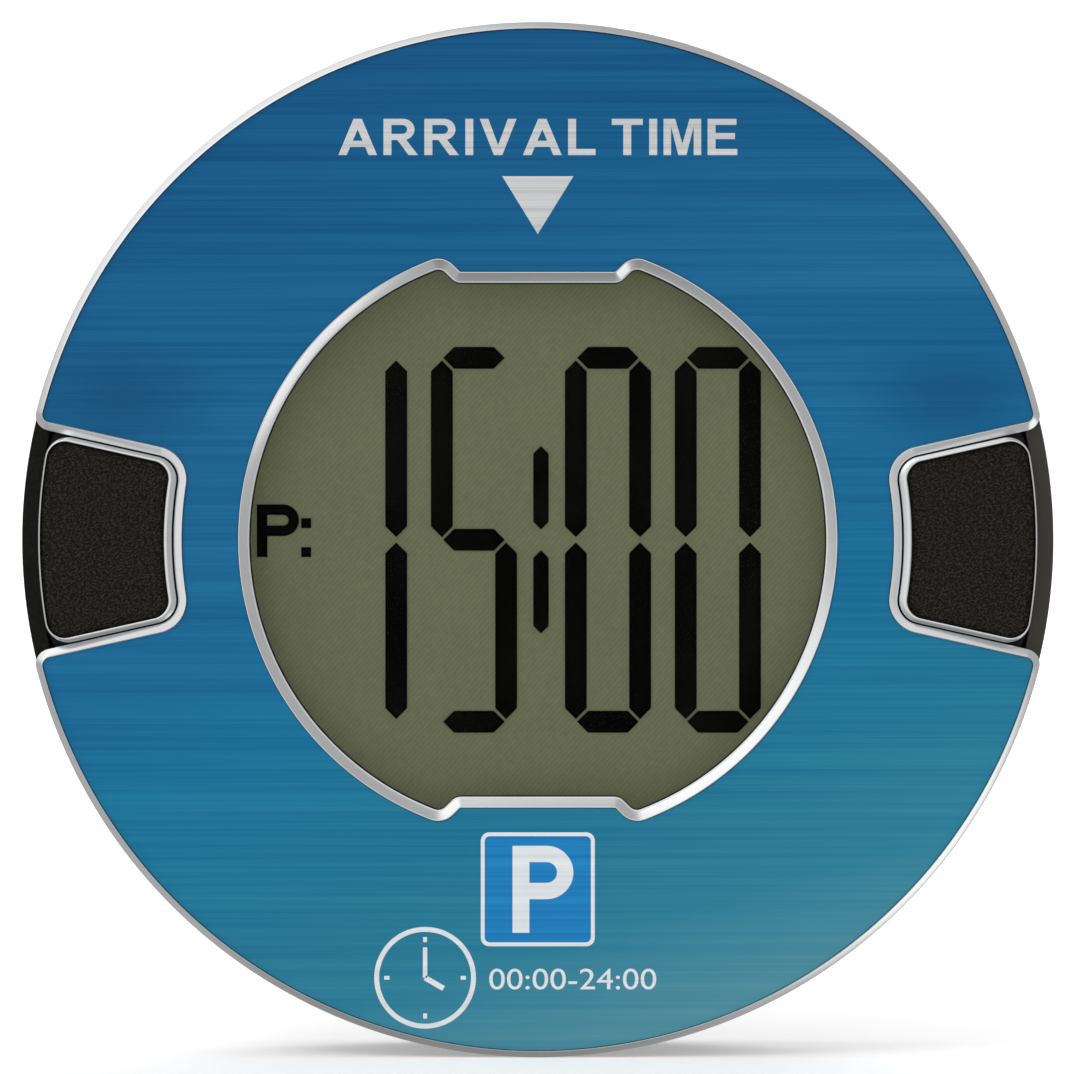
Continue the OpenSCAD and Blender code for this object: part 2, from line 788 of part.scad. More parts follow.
// Upright buffer capacitor behind the board
module buffer_capacitor() {
    foot_t = 0.6;
    foot_w = 2 * buffer_r + 0.4;
    can_base = back_wall + buffer_gap;
    color("#a9adb2") upright() translate([buffer_at.x, buffer_at.y, 0]) {
        block(foot_w, foot_w, board_under - foot_t, board_under);
        translate([0, 0, can_base])
            cylinder(r = buffer_r, h = board_under - foot_t - can_base + eps);
    }
}

// Gold contact pads on the board, one under each key's dome
module key_contacts() {
    color("#d4a93a") upright() both_sides()
        translate([plunger_x, 0, board_top]) cylinder(r = contact_pad_r, h = fit);
}

// ---------------------------------------------------------------- the keys

// Hollow rubber dome that a key's plunger presses on the board
module key_dome() {
    wall_r = dome_r - dome_foot_w;
    hollow_r = wall_r - dome_skin;
    color("#4a4a4a") upright() translate([plunger_x, 0, board_top]) rotate_extrude()
        polygon([[dome_r, 0], [dome_r, dome_foot_t], [wall_r, dome_foot_t],
                 [plunger_r, dome_h], [0, dome_h], [0, dome_h - dome_skin],
                 [plunger_r - dome_skin, dome_h - dome_skin], [hollow_r, dome_foot_t],
                 [hollow_r, 0]]);
}

// Black slider with the flange that keeps a key in its notch, and its plunger
module key_slider() {
    tight = -key_gap;
    color("#151515") upright() {
        slab(key_flange_under, key_flange_top)
            polygon(sector_points(notch_r - key_flange_w, case_inner_r + tight,
                                  key_flange_w, notch_corner_r + tight));
        slab(key_flange_top - eps, trim_base) polygon(key_points(tight));
        translate([plunger_x, 0, plunger_base])
            cylinder(r = plunger_r, h = key_flange_under - plunger_base + eps);
    }
}

// The outline of the grained pad, moved out by g
module pad_outline(g) {
    polygon(sector_points(notch_r + key_gap + key_edge_in - g,
                          case_inner_r - key_gap - key_edge_out + g,
                          g - key_gap - key_edge,
                          notch_corner_r - key_gap - key_edge + g));
}

// Chromed trim around a key
module key_trim() {
    color("#dcdde0") upright() difference() {
        slab(trim_base, key_top) polygon(key_points(-key_gap));
        slab(key_top - pad_t, key_top + past) pad_outline(0);
    }
}

// Grained pad that the finger touches
module key_pad() {
    color("#1a1917") upright() slab(key_top - pad_t, key_top) pad_outline(-fit);
}

// Turns a right-hand piece half a turn about the disc's axis, to the left
module on_left() {
    rotate([0, 180, 0]) children();
}

module right_key_dome() {
    key_dome();
}

module left_key_dome() {
    on_left() key_dome();
}

module right_key_slider() {
    key_slider();
}

module left_key_slider() {
    on_left() key_slider();
}

module right_key_trim() {
    key_trim();
}

module left_key_trim() {
    on_left() key_trim();
}

module right_key_pad() {
    key_pad();
}

module left_key_pad() {
    on_left() key_pad();
}

// ---------------------------------------------------------------- the batteries

// Does something at each cell's centre
module at_cells() {
    for (s = [-1, 1]) translate([s * cell_pitch / 2, -cell_drop, 0]) children();
}

// The pocket beside each cell that holds its side contact
module contact_pocket(g) {
    translate([0, cell_r + contact_t / 2])
        square([contact_w + 2 * g, contact_t + 2 * g], center = true);
}

// Plastic holder around both cells, fixed to the back of the board
module battery_holder() {
    web_h = cell_d * 5 / 6;
    color("#2e2e30") upright() difference() {
        slab(cell_base, board_under) {
            at_cells() circle(r = cell_r + cell_play + holder_wall);
            translate([0, -cell_drop]) square([cell_pitch, web_h], center = true);
        }
        slab(0, disc_t) at_cells() {
            circle(r = cell_r + cell_play);
            contact_pocket(cell_play);
        }
    }
}

// Coin cell, its wide side to the back
module coin_cell(s) {
    color("#c4c7ca") upright() translate([s * cell_pitch / 2, -cell_drop, cell_base]) {
        cylinder(r = cell_r, h = cell_t - cell_step);
        cylinder(r = cell_r - cell_step_w, h = cell_t);
    }
}

module coin_cell_left() {
    coin_cell(-1);
}

module coin_cell_right() {
    coin_cell(1);
}

// Contacts on the board that press on the cells' small sides
module negative_contacts() {
    color("#cbb26a") upright() at_cells() {
        block(strip_l, strip_w, board_under - contact_t, board_under);
        translate([0, 0, cell_base + cell_t])
            cylinder(r = bump_r, h = contact_room - contact_t + eps);
    }
}

// Contacts at the cells' rims
module positive_contacts() {
    color("#cbb26a") upright() slab(cell_base + cell_step, board_under) at_cells()
        contact_pocket(0);
}

// ---------------------------------------------------------------- the screws

// Four screws from the back, through the case and the board into the bezel
module case_screws() {
    color("#9a9da1") upright() at_screws() difference() {
        union() {
            translate([0, 0, screw_sunk]) cylinder(r = screw_head_r, h = screw_head_h);
            translate([0, 0, shank_base - eps]) cylinder(r = screw_r, h = screw_l + eps);
        }
        for (a = [0, 90]) rotate([0, 0, a]) block(slot_l, slot_w, 0, screw_sunk + slot_depth);
    }
}

rear_case();
front_bezel();
face_plate();
plate_adhesive();
display_frame();
display_window();
window_gasket();
lcd_polarizer();
lcd_front_glass();
lcd_segments();
lcd_rear_glass();
lcd_reflector();
lcd_holder();
zebra_strip_top();
zebra_strip_bottom();
main_board();
microcontroller();
quartz_crystal();
motion_sensor();
chip_capacitors();
buffer_capacitor();
key_contacts();
left_key_dome();
right_key_dome();
left_key_slider();
left_key_trim();
left_key_pad();
right_key_slider();
right_key_trim();
right_key_pad();
battery_holder();
coin_cell_left();
coin_cell_right();
negative_contacts();
positive_contacts();
battery_cover();
case_screws();
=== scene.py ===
"""Looks of a round electronic parking disc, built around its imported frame.

The disc stands upright: its front faces -Y, +Z is up, and the centre of its flat back face
is the origin. Most pieces are drawn as flat outlines on the disc's face, and an outline's
level is its height above the back face. Everything is in metres.
"""

import logging
import math
from collections.abc import Callable, Iterable, Sequence
from dataclasses import dataclass, field
from enum import Enum

import bmesh
import bpy
from mathutils import Matrix, Vector


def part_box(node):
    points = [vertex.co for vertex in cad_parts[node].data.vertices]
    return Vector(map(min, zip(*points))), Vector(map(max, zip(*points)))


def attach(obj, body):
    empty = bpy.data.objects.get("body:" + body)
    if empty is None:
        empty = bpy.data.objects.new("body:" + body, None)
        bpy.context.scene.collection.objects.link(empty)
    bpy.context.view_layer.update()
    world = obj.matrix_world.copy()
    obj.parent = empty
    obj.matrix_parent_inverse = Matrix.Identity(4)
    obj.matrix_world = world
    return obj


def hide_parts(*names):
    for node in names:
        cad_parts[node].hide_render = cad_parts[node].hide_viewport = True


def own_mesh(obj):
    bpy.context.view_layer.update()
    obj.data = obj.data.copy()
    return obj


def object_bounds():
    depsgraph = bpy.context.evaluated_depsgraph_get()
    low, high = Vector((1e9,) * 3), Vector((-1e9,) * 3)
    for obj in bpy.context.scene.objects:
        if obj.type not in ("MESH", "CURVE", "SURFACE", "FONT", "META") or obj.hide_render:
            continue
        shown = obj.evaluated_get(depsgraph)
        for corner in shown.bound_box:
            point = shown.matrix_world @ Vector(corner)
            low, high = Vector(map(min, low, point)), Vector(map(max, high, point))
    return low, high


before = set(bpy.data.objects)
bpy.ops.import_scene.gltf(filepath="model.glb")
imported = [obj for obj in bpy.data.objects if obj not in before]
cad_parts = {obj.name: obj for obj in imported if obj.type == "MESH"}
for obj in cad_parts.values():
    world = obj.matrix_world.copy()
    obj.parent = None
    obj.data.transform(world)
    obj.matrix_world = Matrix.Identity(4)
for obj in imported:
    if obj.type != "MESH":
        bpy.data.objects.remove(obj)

LOG = logging.getLogger("parking_disc")
CAD_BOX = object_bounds()
MM = 0.001
TINY = 1e-9

Point = tuple[float, float]
Outline = list[Point]
Ring = tuple[Outline, float | list[float]]
Colour = tuple[float, float, float]
Section = tuple[tuple[float, ...], ...]


# ------------------------------------------------------------------ drawing outlines


def arc(centre: Point, radius: float, start: float, end: float, steps: int) -> Outline:
    """Gives points along an arc.

    Args:
        centre: The arc's centre.
        radius: Its radius.
        start: The angle of its first point, in degrees.
        end: The angle of its last point, in degrees.
        steps: The number of chords.

    Returns:
        The steps + 1 points, both ends included.
    """
    angles = [math.radians(start + (end - start) * i / steps) for i in range(steps + 1)]
    return [(centre[0] + radius * math.cos(a), centre[1] + radius * math.sin(a)) for a in angles]


def polar(radius: float, angle: float) -> Point:
    """Gives the point at a radius and an angle in degrees."""
    return radius * math.cos(math.radians(angle)), radius * math.sin(math.radians(angle))


def asin_deg(value: float) -> float:
    """Gives the arc sine in degrees."""
    return math.degrees(math.asin(value))


def mirrored_below(upper: Outline) -> Outline:
    """Closes an upper half with its mirror image below the X axis."""
    return upper + [(x, -y) for x, y in reversed(upper) if y > TINY]


def four_fold(quarter: Outline) -> Outline:
    """Closes a first quarter with its mirror images in the other three."""
    return mirrored_below(quarter + [(-x, y) for x, y in reversed(quarter) if x > TINY])


def scaled_to(outline: Outline, radius: float) -> Outline:
    """Moves each point of an outline out to a circle, along its own direction."""
    return [(x * radius / math.hypot(x, y), y * radius / math.hypot(x, y)) for x, y in outline]


def rounded_box(width: float, height: float, corner: float, steps: int = 6) -> Outline:
    """Gives the outline of a box with round corners, centred on the origin."""
    a, b = width / 2 - corner, height / 2 - corner
    return four_fold(arc((a, b), corner, 0, 90, steps))


# ------------------------------------------------------------------ making meshes


def to_world(x: float, y: float, level: float) -> Vector:
    """Gives the place in the row's frame of a point on the disc's face at a level."""
    return Vector((x, -level, y))


def new_object(name: str, mesh: bpy.types.Mesh) -> bpy.types.Object:
    """Links a mesh into the scene as a new object."""
    piece = bpy.data.objects.new(name, mesh)
    bpy.context.scene.collection.objects.link(piece)
    return piece


def from_bmesh(name: str, mesh: bmesh.types.BMesh) -> bpy.types.Object:
    """Turns an edited mesh into an object, with its faces looking outwards."""
    bmesh.ops.remove_doubles(mesh, verts=mesh.verts, dist=1e-7)
    bmesh.ops.recalc_face_normals(mesh, faces=mesh.faces)
    data = bpy.data.meshes.new(name)
    mesh.to_mesh(data)
    mesh.free()
    return new_object(name, data)


def swept(name: str, rings: Sequence[Ring], closed: bool = False) -> bpy.types.Object:
    """Joins rings of points into a skin.

    Args:
        name: The new object's name.
        rings: Outlines with as many points each, and a level for the whole of one or for
            each of its points.
        closed: Whether the last ring joins the first; otherwise both ends are capped.

    Returns:
        The new object.
    """
    mesh = bmesh.new()
    loops = []
    for points, level in rings:
        levels = level if isinstance(level, list) else [level] * len(points)
        loops.append([mesh.verts.new(to_world(x, y, z)) for (x, y), z in zip(points, levels)])
    count = len(loops[0])
    pairs = list(zip(loops, loops[1:]))
    if closed:
        pairs.append((loops[-1], loops[0]))
    for low, high in pairs:
        for i in range(count):
            j = (i + 1) % count
            mesh.faces.new((low[i], low[j], high[j], high[i]))
    if not closed:
        mesh.faces.new(loops[0])
        mesh.faces.new(loops[-1])
    return from_bmesh(name, mesh)


def lathe(
    name: str, profile: Outline, centre: Point = (0, 0), steps: int = 96
) -> bpy.types.Object:
    """Turns a profile of (radius, level) points about an axis square to the disc's face."""
    rings = [
        (arc(centre, max(radius, 1e-6), 0, 360 * (1 - 1 / steps), steps - 1), level)
        for radius, level in profile
    ]
    return swept(name, rings)


def tube(name: str, section: Outline, centre: Point) -> bpy.types.Object:
    """Turns a closed section of (radius, level) points into a hollow post."""
    rings = [(arc(centre, radius, 0, 352.5, 47), level) for radius, level in section]
    return swept(name, rings, closed=True)


def cut_sheet(
    name: str,
    outer: Sequence[Outline],
    holes: Sequence[Outline],
    low: float,
    high: float,
    edge: float = 0.0,
) -> bpy.types.Object:
    """Cuts a flat sheet with holes and softly broken edges.

    Args:
        name: The new object's name.
        outer: The outer outlines, one for each separate patch.
        holes: The outlines of the holes.
        low: The level of the sheet's back.
        high: The level of its front.
        edge: The width of the broken edge.

    Returns:
        The new object.
    """
    curve = bpy.data.curves.new(name + "_outline", "CURVE")
    curve.dimensions = "2D"
    curve.fill_mode = "BOTH"
    curve.extrude = (high - low) / 2 - edge
    curve.bevel_depth = edge
    curve.bevel_resolution = 1 if edge else 0
    curve.offset = -edge
    for outline in [*outer, *holes]:
        spline = curve.splines.new("POLY")
        spline.points.add(len(outline) - 1)
        spline.use_cyclic_u = True
        for point, (x, y) in zip(spline.points, outline):
            point.co = (x, y, 0, 1)
    return flat_to_face(name, curve, (low + high) / 2)


def flat_to_face(
    name: str, curve: bpy.types.Curve, level: float, place: Matrix | None = None
) -> bpy.types.Object:
    """Meshes a flat curve and stands it on the disc's face at a level."""
    holder = bpy.data.objects.new(name + "_curve", curve)
    bpy.context.scene.collection.objects.link(holder)
    bpy.context.view_layer.update()
    data = bpy.data.meshes.new_from_object(
        holder.evaluated_get(bpy.context.evaluated_depsgraph_get())
    )
    bpy.data.objects.remove(holder)
    bpy.data.curves.remove(curve)
    upright = Matrix.Translation((0, -level, 0)) @ Matrix.Rotation(math.pi / 2, 4, "X")
    data.transform(upright @ (place or Matrix.Identity(4)))
    data.name = name
    return new_object(name, data)


def bar(name: str, x: Point, y: Point, levels: Point) -> bpy.types.Object:
    """Makes a straight-edged tool or bar from its ranges across, up and in level."""
    corners = [(x[0], y[0]), (x[1], y[0]), (x[1], y[1]), (x[0], y[1])]
    return swept(name, [(corners, levels[0]), (corners, levels[1])])


class Carving(Enum):
    """What a tool takes from a solid."""

    CUT = "DIFFERENCE"
    KEEP_COMMON = "INTERSECT"


def carve(
    piece: bpy.types.Object, tools: Iterable[bpy.types.Object], how: Carving
) -> bpy.types.Object:
    """Cuts or trims a piece with tools, which are used up."""
    for tool in tools:
        modifier = piece.modifiers.new("carve", "BOOLEAN")
        modifier.operation = how.value
        modifier.solver = "EXACT"
        modifier.object = tool
        bpy.context.view_layer.update()
        old = piece.data
        piece.data = bpy.data.meshes.new_from_object(
            piece.evaluated_get(bpy.context.evaluated_depsgraph_get())
        )
        piece.modifiers.clear()
        bpy.data.meshes.remove(old)
        bpy.data.objects.remove(tool)
    return piece


def joined(name: str, pieces: Sequence[bpy.types.Object]) -> bpy.types.Object:
    """Joins several meshes into one object."""
    mesh = bmesh.new()
    for piece in pieces:
        mesh.from_mesh(piece.data)
    data = bpy.data.meshes.new(name)
    mesh.to_mesh(data)
    mesh.free()
    for piece in pieces:
        bpy.data.objects.remove(piece)
    return new_object(name, data)


def smooth(piece: bpy.types.Object, angle: float = 32) -> None:
    """Shades a piece smoothly, with edges sharper than an angle left crisp."""
    piece.data.shade_smooth()
    piece.data.set_sharp_from_angle(angle=math.radians(angle))


def soften(piece: bpy.types.Object, width: float, angle: float) -> None:
    """Breaks a piece's hard edges with a small round bevel."""
    bevel = piece.modifiers.new("soft_edges", "BEVEL")
    bevel.width = width
    bevel.segments = 2
    bevel.limit_method = "ANGLE"
    bevel.angle_limit = math.radians(angle)
    bevel.harden_normals = False
    bevel.use_clamp_overlap = True


def pane_of(node: str) -> Outline:
    """Gives the outline of a node that is a flat pane centred on the origin."""
    low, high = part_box(node)
    return rounded_box(high.x - low.x, high.z - low.z, 0.1 * MM, 3)


def level_of(node: str) -> Point:
    """Gives a node's lowest and highest level above the back face."""
    low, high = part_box(node)
    return -high.y, -low.y


# ------------------------------------------------------------------ the face's shapes


@dataclass(frozen=True)
class FaceShapes:
    """The outlines that the pieces of the disc's face share.

    The lips around the notches and the rim follow one rule: a share of 0 is their outer
    edge, and a share of 1 is where they meet the coloured plate. The screws' places are
    here too, because both shells have them.
    """

    disc_r: float
    key_outer_r: float
    notch_depth: float = 11.88 * MM
    notch_angle: float = 12.55
    notch_corner: float = 1.9 * MM
    notch_end: float = 1.2 * MM
    rim_width: float = 0.55 * MM
    lip_width: float = 0.65 * MM
    frame_r: float = 23.14 * MM
    frame_flat: float = 20.69 * MM
    flat_half: float = 6.0 * MM
    horn_r: float = 1.65 * MM
    crook_r: float = 0.2 * MM
    slope: float = 0.82 * MM
    key_gap: float = 0.12 * MM
    key_edge: float = 0.5 * MM
    key_edge_in: float = 0.75 * MM
    key_edge_out: float = 0.2 * MM
    screw_ring: float = 34.5 * MM
    screw_angles: tuple[float, ...] = (60, 120, 205, 335)

    @property
    def notch_r(self) -> float:
        """Gives the radius of the notches' inner edge."""
        return self.disc_r - self.notch_depth

    def bezel(self, share: float, grow: float = 0.0) -> Outline:
        """Gives the bezel's outline, notches included.

        Args:
            share: How far in over the lip, from 0 to 1.
            grow: A gap by which the notches and the rim stand off further.

        Returns:
            The closed outline.
        """
        off = share * self.lip_width + grow
        corner = self.notch_corner + off
        radius = self.disc_r - share * self.rim_width - grow
        flare = max(self.notch_end - share * self.rim_width - grow, 0.05 * MM)
        centre = self.notch_r - off + corner
        inner = self.notch_angle + asin_deg((off - corner) / centre)
        outer = self.notch_angle + asin_deg((off + flare) / (radius - flare))
        return four_fold(
            arc((0, 0), self.notch_r - off, 0, inner, 16)
            + arc(polar(centre, inner), corner, inner + 180, self.notch_angle + 90, 14)
            + arc(polar(radius - flare, outer), flare, self.notch_angle - 90, outer, 12)
            + arc((0, 0), radius, outer, 90, 90)[1:]
        )

    def display(self, off: float) -> Outline:
        """Gives the display frame's outline, moved out by off."""
        lean = self.flat_half - self.frame_flat + self.horn_r * math.sqrt(2)
        along = math.sqrt(2 * (self.frame_r - self.horn_r) ** 2 - lean**2)
        horn = ((along + lean) / 2, (along - lean) / 2)
        turn = math.degrees(math.atan2(horn[1], horn[0]))
        crook = (
            self.flat_half - self.crook_r * math.tan(math.radians(22.5)),
            self.frame_flat + self.crook_r,
        )
        return four_fold(
            arc((0, 0), self.frame_r + off, 0, turn, 72)
            + arc(horn, self.horn_r + off, turn, 135, 14)
            + arc(crook, self.crook_r - off, -45, -90, 8)
        )

    def sector(self, inner_r: float, outer_r: float, side: float, corner: float) -> Outline:
        """Gives a ring sector about +X with its corners rounded.

        Args:
            inner_r: Its inner radius.
            outer_r: Its outer radius.
            side: How far its sides stand out from the notch's own sides.
            corner: The radius of its corners.

        Returns:
            The closed outline.
        """
        outer = self.notch_angle + asin_deg((side - corner) / (outer_r - corner))
        inner = self.notch_angle + asin_deg((side - corner) / (inner_r + corner))
        up = self.notch_angle + 90
        return mirrored_below(
            arc((0, 0), outer_r, 0, outer, 20)
            + arc(polar(outer_r - corner, outer), corner, outer, up, 14)
            + arc(polar(inner_r + corner, inner), corner, up, inner + 180, 14)
            + arc((0, 0), inner_r, inner, 0, 20)
        )

    def key(self, share: float, inset: float = 0.0) -> Outline:
        """Gives a key's outline.

        Args:
            share: How far in over the polished edge, from 0 to 1.
            inset: A distance further in, the same all around.

        Returns:
            The closed outline.
        """
        return self.sector(
            self.notch_r + self.key_gap + share * self.key_edge_in + inset,
            self.key_outer_r - share * self.key_edge_out - inset,
            -self.key_gap - share * self.key_edge - inset,
            self.notch_corner - self.key_gap - share * self.key_edge - inset,
        )


# ------------------------------------------------------------------ shader helpers


class NodeSheet:
    """A node tree with short ways to add nodes and links."""

    def __init__(self, tree: bpy.types.NodeTree) -> None:
        """Takes over a tree and clears it."""
        self.tree = tree
        tree.nodes.clear()

    def add(self, kind: str, **settings: object) -> bpy.types.Node:
        """Adds a node.

        Args:
            kind: Its type, without the ShaderNode prefix.
            **settings: Its properties; a name that is an input socket's sets that socket.

        Returns:
            The new node.
        """
        node = self.tree.nodes.new(kind if kind.startswith("NodeGroup") else "ShaderNode" + kind)
        for name, value in settings.items():
            setattr(node, name, value)
        return node

    def feed(self, node: bpy.types.Node, **inputs: object) -> bpy.types.Node:
        """Sets or links a node's inputs, named with underscores for spaces."""
        for name, value in inputs.items():
            self.into(node.inputs[name.replace("_", " ")], value)
        return node

    def into(self, socket: bpy.types.NodeSocket, value: object) -> None:
        """Links an output into a socket, or sets the socket to a plain value."""
        if isinstance(value, bpy.types.NodeSocket):
            self.tree.links.new(value, socket)
        else:
            socket.default_value = value

    def math(self, operation: str, *values: object) -> bpy.types.NodeSocket:
        """Adds a Math node and gives its output."""
        node = self.add("Math", operation=operation)
        for socket, value in zip(node.inputs, values):
            self.into(socket, value)
        return node.outputs[0]

    def blend(self, share: object, first: object, second: object) -> bpy.types.NodeSocket:
        """Mixes two colours and gives the result."""
        node = self.add("Mix", data_type="RGBA")
        self.into(node.inputs[0], share)
        self.into(node.inputs[6], first)
        self.into(node.inputs[7], second)
        return node.outputs[2]

    def span(self, value: object, low: Point, high: Point) -> bpy.types.NodeSocket:
        """Maps a value from the range low to the range high, smoothly and clamped."""
        node = self.add("MapRange", interpolation_type="SMOOTHSTEP")
        for socket, number in zip(node.inputs, (value, *low, *high)):
            self.into(socket, number)
        return node.outputs[0]

    def place(self, stretch: Sequence[float]) -> bpy.types.NodeSocket:
        """Gives object coordinates stretched along each axis."""
        coordinates = self.add("TexCoord")
        mapping = self.add("Mapping")
        mapping.inputs["Scale"].default_value = stretch
        self.tree.links.new(coordinates.outputs["Object"], mapping.inputs["Vector"])
        return mapping.outputs[0]

    def axes(self) -> bpy.types.Node:
        """Gives a node whose outputs X, Y and Z are the object coordinates."""
        split = self.add("SeparateXYZ")
        self.into(split.inputs[0], self.add("TexCoord").outputs["Object"])
        return split

    def noise(self, vector: object, scale: object, detail: float = 2, rough: float = 0.5
              ) -> bpy.types.NodeSocket:
        """Adds noise and gives its value."""
        node = self.add("TexNoise")
        self.feed(node, Vector=vector, Scale=scale, Detail=detail, Roughness=rough)
        return node.outputs[0]


class Effect:
    """A shader node group that several finishes use, built once."""

    def __init__(
        self,
        name: str,
        inputs: dict[str, float],
        outputs: Sequence[str],
        draw: Callable[[NodeSheet, dict[str, bpy.types.NodeSocket]], Sequence[object]],
    ) -> None:
        """Builds the group.

        Args:
            name: The group's name.
            inputs: The inputs' names and usual values.
            outputs: The outputs' names.
            draw: Draws the group's nodes and gives a socket for each output.
        """
        self.group = bpy.data.node_groups.new(name, "ShaderNodeTree")
        for label, value in inputs.items():
            socket = self.group.interface.new_socket(
                name=label, in_out="INPUT", socket_type="NodeSocketFloat"
            )
            socket.default_value = value
        for label in outputs:
            self.group.interface.new_socket(
                name=label, in_out="OUTPUT", socket_type="NodeSocketFloat"
            )
        sheet = NodeSheet(self.group)
        entry = self.group.nodes.new("NodeGroupInput")
        leave = self.group.nodes.new("NodeGroupOutput")
        results = draw(sheet, {s.name: s for s in entry.outputs if s.name})
        for label, result in zip(outputs, results):
            sheet.into(leave.inputs[label], result)

    def use(self, sheet: NodeSheet, **inputs: object) -> bpy.types.Node:
        """Places the group in a material with its own values."""
        node = sheet.add("Group", node_tree=self.group)
        return sheet.feed(node, **inputs)


def draw_streaks(sheet: NodeSheet, given: dict[str, bpy.types.NodeSocket]) -> Sequence[object]:
    """Draws the level lines that a brush leaves, fine ones over broad ones."""
    fine = sheet.noise(sheet.place((30, 30, 9000)), 1, 2, 0.6)
    middle = sheet.noise(sheet.place((22, 22, 2300)), 1, 3, 0.6)
    broad = sheet.noise(sheet.place((9, 9, 420)), 1, 2, 0.5)
    mixed = sheet.math(
        "ADD",
        sheet.math("MULTIPLY", fine, given["Fine"]),
        sheet.math(
            "ADD",
            sheet.math("MULTIPLY", middle, given["Middle"]),
            sheet.math("MULTIPLY", broad, given["Broad"]),
        ),
    )
    total = sheet.math("ADD", given["Fine"], sheet.math("ADD", given["Middle"], given["Broad"]))
    share = sheet.math("DIVIDE", mixed, total)
    return [sheet.span(share, (0.28, 0.72), (0, 1)), fine]


def draw_wear(sheet: NodeSheet, given: dict[str, bpy.types.NodeSocket]) -> Sequence[object]:
    """Draws the faint smudges and hairlines of a handled surface."""
    smudge = sheet.noise(sheet.place((1, 1, 1)), 60, 3, 0.6)
    hair = sheet.noise(sheet.place((260, 260, 4200)), 1, 2, 0.5)
    lines = sheet.span(hair, (0.62, 0.75), (0, 1))
    value = sheet.math(
        "ADD",
        sheet.math("MULTIPLY", sheet.span(smudge, (0.35, 0.7), (0, 1)), given["Smudges"]),
        sheet.math("MULTIPLY", lines, given["Hairlines"]),
    )
    return [value]


def draw_mould(sheet: NodeSheet, given: dict[str, bpy.types.NodeSocket]) -> Sequence[object]:
    """Draws the fine eroded texture of a plastic mould, as a height."""
    coordinates = sheet.add("TexCoord").outputs["Object"]
    fine = sheet.noise(coordinates, given["Scale"], 2.0, 0.6)
    coarse = sheet.noise(coordinates, sheet.math("MULTIPLY", given["Scale"], 0.4), 1.0)
    height = sheet.math("ADD", sheet.math("MULTIPLY", fine, 0.7),
                        sheet.math("MULTIPLY", coarse, 0.3))
    return [height, fine]


def draw_leather(sheet: NodeSheet, given: dict[str, bpy.types.NodeSocket]) -> Sequence[object]:
    """Draws a leather grain: fine slanted wrinkles with pebbles between them, as a height, and
    that height again as a tone for painted shade in the creases and painted light on the crests.
    """
    turned = sheet.add("Mapping", vector_type="TEXTURE")
    turned.inputs["Rotation"].default_value = (0, math.radians(-30), 0)
    turned.inputs["Scale"].default_value = (1.4, 1.0, 0.78)
    sheet.into(turned.inputs["Vector"], sheet.add("TexCoord").outputs["Object"])
    wrinkles = sheet.add("TexNoise")
    sheet.feed(
        wrinkles, Vector=turned.outputs[0], Scale=given["Scale"], Detail=1.0, Roughness=0.45,
        Distortion=0.4,
    )
    pebbles = sheet.add("TexVoronoi", feature="SMOOTH_F1")
    sheet.feed(
        pebbles, Vector=turned.outputs[0], Scale=sheet.math("MULTIPLY", given["Scale"], 0.9),
        Smoothness=0.4,
    )
    mound = sheet.span(pebbles.outputs["Distance"], (0.10, 0.75), (1, 0))
    folds = sheet.span(wrinkles.outputs[0], (0.28, 0.72), (0, 1))
    height = sheet.math(
        "ADD", sheet.math("MULTIPLY", folds, 0.7), sheet.math("MULTIPLY", mound, 0.3)
    )
    return [height, sheet.span(height, (0.25, 0.85), (0, 1))]


class Effects:
    """All shared effects, each built once."""

    def __init__(self) -> None:
        """Builds the groups."""
        self.streaks = Effect(
            "Brush streaks", {"Fine": 0.3, "Middle": 0.4, "Broad": 0.3}, ("Value", "Fine line"),
            draw_streaks,
        )
        self.wear = Effect(
            "Handled wear", {"Smudges": 0.5, "Hairlines": 0.5}, ("Value",), draw_wear
        )
        self.mould = Effect("Mould texture", {"Scale": 4000}, ("Height", "Speck"), draw_mould)
        self.leather = Effect("Leather grain", {"Scale": 2200}, ("Height", "Crest light"), draw_leather)


EFFECTS = Effects()


# ------------------------------------------------------------------ finishes


def srgb(red: float, green: float, blue: float) -> tuple[float, float, float, float]:
    """Turns a colour as seen, from 0 to 255, into the light that it stands for."""

    def light(value: float) -> float:
        """Turns one channel into light."""
        share = value / 255
        return share / 12.92 if share <= 0.04045 else ((share + 0.055) / 1.055) ** 2.4

    return light(red), light(green), light(blue), 1.0


@dataclass(frozen=True)
class Finish:
    """A finish that dresses pieces; each kind draws its own nodes."""

    name: str

    def build(self) -> bpy.types.Material:
        """Makes the material, or gives the one already made."""
        title = self.name + "_finish"
        made = bpy.data.materials.get(title)
        if made is not None:
            return made
        material = bpy.data.materials.new(title)
        material.use_nodes = True
        sheet = NodeSheet(material.node_tree)
        shader = sheet.add("BsdfPrincipled")
        output = sheet.add("OutputMaterial")
        material.node_tree.links.new(shader.outputs[0], output.inputs["Surface"])
        self.draw(sheet, shader)
        return material

    def draw(self, sheet: NodeSheet, shader: bpy.types.Node) -> None:
        """Draws the finish; each kind has its own."""
        raise NotImplementedError

    def dress(self, *pieces: bpy.types.Object) -> None:
        """Puts the finish on pieces, in place of what they had."""
        material = self.build()
        for piece in pieces:
            piece.data.materials.clear()
            piece.data.materials.append(material)

    @staticmethod
    def bump(sheet: NodeSheet, shader: bpy.types.Node, height: object, depth: float,
             strength: float = 1.0) -> None:
        """Feeds a height into the shader's normal."""
        node = sheet.add("Bump")
        sheet.feed(node, Height=height, Distance=depth, Strength=strength)
        sheet.into(shader.inputs["Normal"], node.outputs[0])


